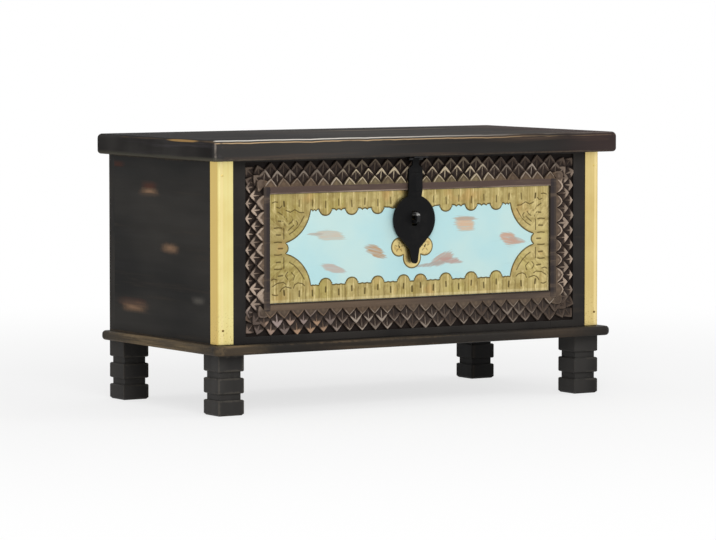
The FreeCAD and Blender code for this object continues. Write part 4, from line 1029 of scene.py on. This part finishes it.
def staple_shade(finish, tone):
    """The plate is mottled, and painted black round the staple as painted shade under the hasp."""
    away = (((finish.x - STAPLE_SHADE_X) / STAPLE_SHADE_REACH_X) ** 2 + ((finish.z - STAPLE_SHADE_Z) / STAPLE_SHADE_REACH_Z) ** 2) ** 0.5
    return finish.cover(tone, ((170, 132, 76), finish.place.noise(120.0).ramp(0.5, 0.68) * 0.5),
                        ((16, 15, 14), away.ramp(1.2, 0.8)))


plate = chased_sheet("chased_lock_plate", "keyhole_plate", plate_cuts, lambda loop: True)
plate.data.materials.append(
    brass("lock_plate_brass", (230, 212, 152), (208, 184, 118), (30.0, 30.0, 30.0), 0.36, staple_shade))
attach(plate, "chest")
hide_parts("keyhole_plate")

# Corner strips: brass angle bent over the two front corners from lid to base, rubbed up and down.
# Two small pins hold each one; the left strip is painted brighter than the right, as painted light.
STRIP_STREAK = (260.0, 260.0, 4.0)
# how far in from the corner the painted highlight on the front flange lies
BEND_HIGHLIGHT = 6 * MM


def flange_painted_light(finish, tone):
    """The strip is painted darker on the chest's side as shade, bright in front, with a painted highlight beside the
    bend, speckled at its foot.
    """
    specks = finish.place.noise(330.0).ramp(0.56, 0.66) * finish.z.ramp(0.2, 0.12)
    bend_highlight = abs(abs(finish.x) - STILE_OUTER_X + BEND_HIGHLIGHT)
    return finish.cover(tone, ((206, 176, 98), (finish.y - FRONT_Y).ramp(-0.0006, 0.003) * 0.9),
                        ((146, 118, 62), specks * 0.5), ((250, 230, 170), bend_highlight.ramp(0.004, 0.001) * 0.5))


def dark_foot(finish, tone):
    """The upper pins are as bright as the strips, the lower ones are dark."""
    return finish.mix(tone, (120, 98, 56), finish.z.ramp(0.25, 0.2))


STRIPS = (
    # the left strip's tones are the brighter copy, as painted light
    ("left_corner_strip", "left_strip_brass", (240, 228, 160), (226, 204, 130), 0.33, flange_painted_light),
    ("right_corner_strip", "right_strip_brass", (218, 196, 132), (200, 174, 108), 0.36, flange_painted_light),
    ("strip_pins", "pin_brass", (230, 214, 148), (214, 192, 122), 0.36, dark_foot),
)
for node, name, light, dark, rough, shade in STRIPS:
    dress(node, brass(name, light, dark, STRIP_STREAK, rough, shade))

# Staple, hinges and hasp plate: black forged iron, hammered, with a dull shine on the high spots.
# The staple is driven through the panel, its crown painted bright as a glint; the hinges are let in at the back.
IRON_NODES = ("left_chest_hinge_leaf", "right_chest_hinge_leaf", "left_lid_hinge_leaf", "right_lid_hinge_leaf",
              "hasp_plate")
iron = Finish("black_iron")
hammered = iron.place.noise(130.0, 2.0)
iron_crust = iron.place.noise(500.0)
iron.set(Base_Color=iron.mix((20, 20, 21), (40, 38, 38), hammered.ramp(0.45, 0.75)),
         Metallic=0.3, Roughness=0.42 + (iron_crust - 0.5) * 0.25, Specular_IOR_Level=0.4)
iron.bump(hammered * 0.8 + iron_crust * 0.2, 0.3, 0.0006)
for node in IRON_NODES:
    dress(node, iron.material)
crown = Finish("staple_iron_glint")
crown_crust = crown.place.noise(500.0)
# painted glint on the staple's crown
crown_glint = (crown.z + (crown_crust - 0.5) * 0.003).ramp(0.3165, 0.3195)
crown.set(Base_Color=crown.mix((26, 26, 27), (196, 195, 192), crown_glint),
          Metallic=crown_glint, Roughness=0.4 + (crown_crust - 0.5) * 0.2, Specular_IOR_Level=0.2)
crown.bump(crown_crust, 0.2, 0.0003)
dress("staple", crown.material)

# Lid: three thick boards glued edge to edge, rounded over all round and painted black-brown.
# Two pale lines run along the front of the roundover, and the top has a dull grey sheen.
LID_BOARDS = ("lid_front_board", "lid_middle_board", "lid_back_board")
lid_low = Vector(map(min, *(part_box(board)[0] for board in LID_BOARDS)))
lid_high = Vector(map(max, *(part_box(board)[1] for board in LID_BOARDS)))


def lid_paint(name, board_low, board_high):
    """The lid's paint on one of its boards: worn rims, pale lines, a pale streak and grain streaks, with painted sheen,
    shade and highlight, placed on the whole lid.
    """
    finish = Finish(name)
    x = finish.x
    grain = finish.along_ends(finish.streaks((2.4, 75.0, 75.0), 5.0, 0.62), lid_high.x)
    broad = finish.streaks((2.0, 8.0, 8.0))
    speck = finish.place.noise(180.0, 2.0)
    run = finish.streaks((11.0, 0.0, 0.0), 3.0, 0.6)
    from_front = finish.y - lid_low.y
    from_top = lid_high.z - finish.z
    from_left = x - lid_low.x
    from_bottom = finish.z - lid_low.z
    on_top = from_top.ramp(0.002, 0.001)
    streak = finish.mix((104, 84, 70), (88, 84, 88), from_left.ramp(0.02, 0.01))
    # a faint pale streak across the top
    pale_top_streak = rub(x, finish.y, (0.1, 0.09), (0.14, 0.014), (grain - 0.5) * 1.6)
    bright_end = x.ramp(0.24, -0.16)
    tan_run = x.ramp(0.36, -0.05)
    upper = abs(from_top - 0.0009 - (run - 0.5) * 0.003).ramp(0.0012, 0.0003) * from_front.ramp(0.014, 0.008)
    lower = abs(from_top - 0.0046 - (run - 0.5) * 0.006).ramp(0.0013, 0.0003) * from_front.ramp(0.006, 0.003)
    broken = grain * 0.5 + run * 0.5
    corner = abs(from_left - 0.003).ramp(0.002, 0.0005) * from_front.ramp(0.006, 0.003)
    end_streak = rub(finish.y, finish.z, (-0.095, 0.447), (0.05, 0.0018), (grain - 0.5) * 1.6)
    rim = from_left.least(lid_high.x - x).least(lid_high.y - finish.y)
    worn = (rim.most(from_top) + (grain - 0.5) * 0.012 + (broad - 0.5) * 0.012).ramp(0.0036, -0.0006)
    # a painted highlight along the lid's lower edges
    bottom = rim.least(from_front).most(from_bottom) + (speck - 0.5) * 0.004 + (broad - 0.5) * 0.01
    under_end = (from_bottom + (grain - 0.5) * 0.008).ramp(0.008, 0.001) * from_left.ramp(0.014, 0.006)
    seam = (finish.y - board_low.y).least(board_high.y - finish.y).ramp(0.0011, 0.0003)
    tone = finish.cover(
        (40, 38, 37),
        ((61, 59, 57), broad.ramp(0.3, 0.7)),
        # painted sheen: the left of the front is greyer
        ((78, 76, 74), x.ramp(0.1, -0.25) * from_front.ramp(0.012, 0.004) * 0.38),
        (streak, grain.ramp(0.5, 0.78) * (0.48 + x.ramp(-0.05, 0.3) * from_front.ramp(0.02, 0.006) * 0.4)),
        # painted shade: the left of the top is darker, with less sheen
        ((30, 30, 31), on_top * x.ramp(-0.06, -0.24) * from_front.ramp(0.012, 0.03) * 0.55),
        ((128, 116, 104), on_top * pale_top_streak * 0.6),
        ((84, 66, 64), x.ramp(0.24, 0.38) * 0.35),
        ((222, 216, 206), upper * (0.15 + bright_end * 0.85) * (broken + bright_end * 0.2).ramp(0.46, 0.62)),
        ((192, 162, 124), lower * (0.2 + tan_run * 0.75) * (broken + tan_run * 0.12).ramp(0.46, 0.62)),
        ((150, 140, 130), corner * grain.ramp(0.35, 0.6) * 0.7),
        ((176, 140, 88), end_streak * from_left.ramp(0.01, 0.005) * 0.9),
        ((110, 92, 72), worn * 0.6),
        # painted highlight on the lower edges
        ((108, 98, 86), bottom.ramp(0.0034, -0.0005) * 0.6),
        ((92, 89, 78), under_end * 0.75),
        ((16, 14, 13), seam * on_top * from_front.ramp(0.01, 0.02) * 0.8))
    finish.set(Base_Color=tone, Roughness=0.8 + (grain - 0.5) * 0.22, Specular_IOR_Level=0.04)
    finish.bump(grain * 0.75 + speck * 0.25, 0.25, 0.0006)
    return finish.material


for board in LID_BOARDS:
    dress(board, lid_paint(f"{board}_paint", *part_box(board)))

# Hasp: strap, disc and tab forged in one from black iron, hung from a pin under the lid's edge.
# It is smoother than the hinges, and its slot closes over the staple.
forged = Finish("forged_hasp_iron")
forged_crust = forged.place.noise(420.0)
forged_beat = forged.place.noise(60.0, 2.0)
forged.set(Base_Color=forged.mix((10, 10, 11), (20, 19, 19), forged_beat.ramp(0.45, 0.8)),
           Roughness=0.5 + (forged_crust - 0.5) * 0.2, Specular_IOR_Level=0.1)
forged.bump(forged_beat * 0.8 + forged_crust * 0.2, 0.25, 0.0008)
dress("hasp", forged.material)

# Studio: a plain white floor, an even white surround and three soft lamps.
# The lens is long, from the front and left, a little above the lid.
FLOOR_HALF = 30.0
WHITE = (1, 1, 1, 1)
FLOOR_WHITE = 0.72
SURROUND_LIGHT = 0.38
floor_mesh = bpy.data.meshes.new("studio_floor")
floor_mesh.from_pydata([(-FLOOR_HALF, -FLOOR_HALF, 0), (FLOOR_HALF, -FLOOR_HALF, 0),
                        (FLOOR_HALF, FLOOR_HALF, 0), (-FLOOR_HALF, FLOOR_HALF, 0)], [], [(0, 1, 2, 3)])
floor = shown("studio_floor", floor_mesh)
floor_finish = Finish("studio_white")
floor_finish.set(Base_Color=tint(246, 246, 246), Roughness=0.9, Specular_IOR_Level=0.1)


def seen_white(tree):
    """1 for what the lens, gloss and glass see, 0 for what lights the chest."""
    start = Value(tree)
    seen = start.node("ShaderNodeLightPath", {}, "Is Camera Ray")
    for way in ("Is Glossy Ray", "Is Transmission Ray"):
        seen = seen.most(start.node("ShaderNodeLightPath", {}, way))
    return seen


# near the chest the floor keeps some of its own shade; further off it is all white
from_chest = (floor_finish.x ** 2 + floor_finish.y ** 2) ** 0.5
floor_share = seen_white(floor_finish.tree) * (FLOOR_WHITE + from_chest.ramp(0.5, 2.2) * (1 - FLOOR_WHITE))
floor_lit = Value(floor_finish.tree, floor_finish.shader.outputs[0])
floor_white = floor_share.node("ShaderNodeEmission", {"Color": WHITE, "Strength": 1.0})
floor_shown = floor_share.node("ShaderNodeMixShader", {0: floor_share, 1: floor_lit, 2: floor_white})
floor_finish.tree.links.new(floor_shown.socket, floor_finish.tree.nodes["Material Output"].inputs["Surface"])
floor.data.materials.append(floor_finish.material)

world = bpy.data.worlds.new("studio_surround")
bpy.context.scene.world = world
world.use_nodes = True
surround = world.node_tree
surround.nodes.clear()
seen = seen_white(surround)
plain, bright = (seen.node("ShaderNodeBackground", {"Color": WHITE, "Strength": strength})
                 for strength in (SURROUND_LIGHT, 1.0))
backdrop = seen.node("ShaderNodeMixShader", {0: seen, 1: plain, 2: bright})
world_out = surround.nodes.new("ShaderNodeOutputWorld")
surround.links.new(backdrop.socket, world_out.inputs["Surface"])

# name, place, width and power
LAMPS = (
    ("front_lamp", (-1.6, -3.4, 2.6), 2.4, 88.0),
    ("right_lamp", (3.0, -1.6, 1.8), 2.0, 24.0),
    ("top_lamp", (0.2, 0.6, 3.2), 2.6, 19.0),
)
AIM = Vector((0.0, 0.0, 0.25))
for name, place, width, power in LAMPS:
    lamp = bpy.data.lights.new(name, "AREA")
    lamp.shape = "SQUARE"
    lamp.size = width
    lamp.energy = power
    holder = shown(name, lamp)
    holder.location = place
    holder.rotation_euler = (AIM - Vector(place)).to_track_quat("-Z", "Y").to_euler()

LENS_PLACE = (-3.7385, -5.9181, 0.7012)
LENS_TURN = (math.radians(90 - 3.977), 0.0, math.radians(-32.251))
camera = bpy.data.cameras.new("studio_lens")
camera.sensor_width = 36.0
camera.lens = 206.86
camera.shift_x = 0.0023
camera.shift_y = 0.0007
camera.clip_end = 200.0
stand = shown("studio_lens", camera)
stand.location = LENS_PLACE
stand.rotation_euler = LENS_TURN
bpy.context.scene.camera = stand
bpy.context.scene.view_settings.view_transform = "Standard"
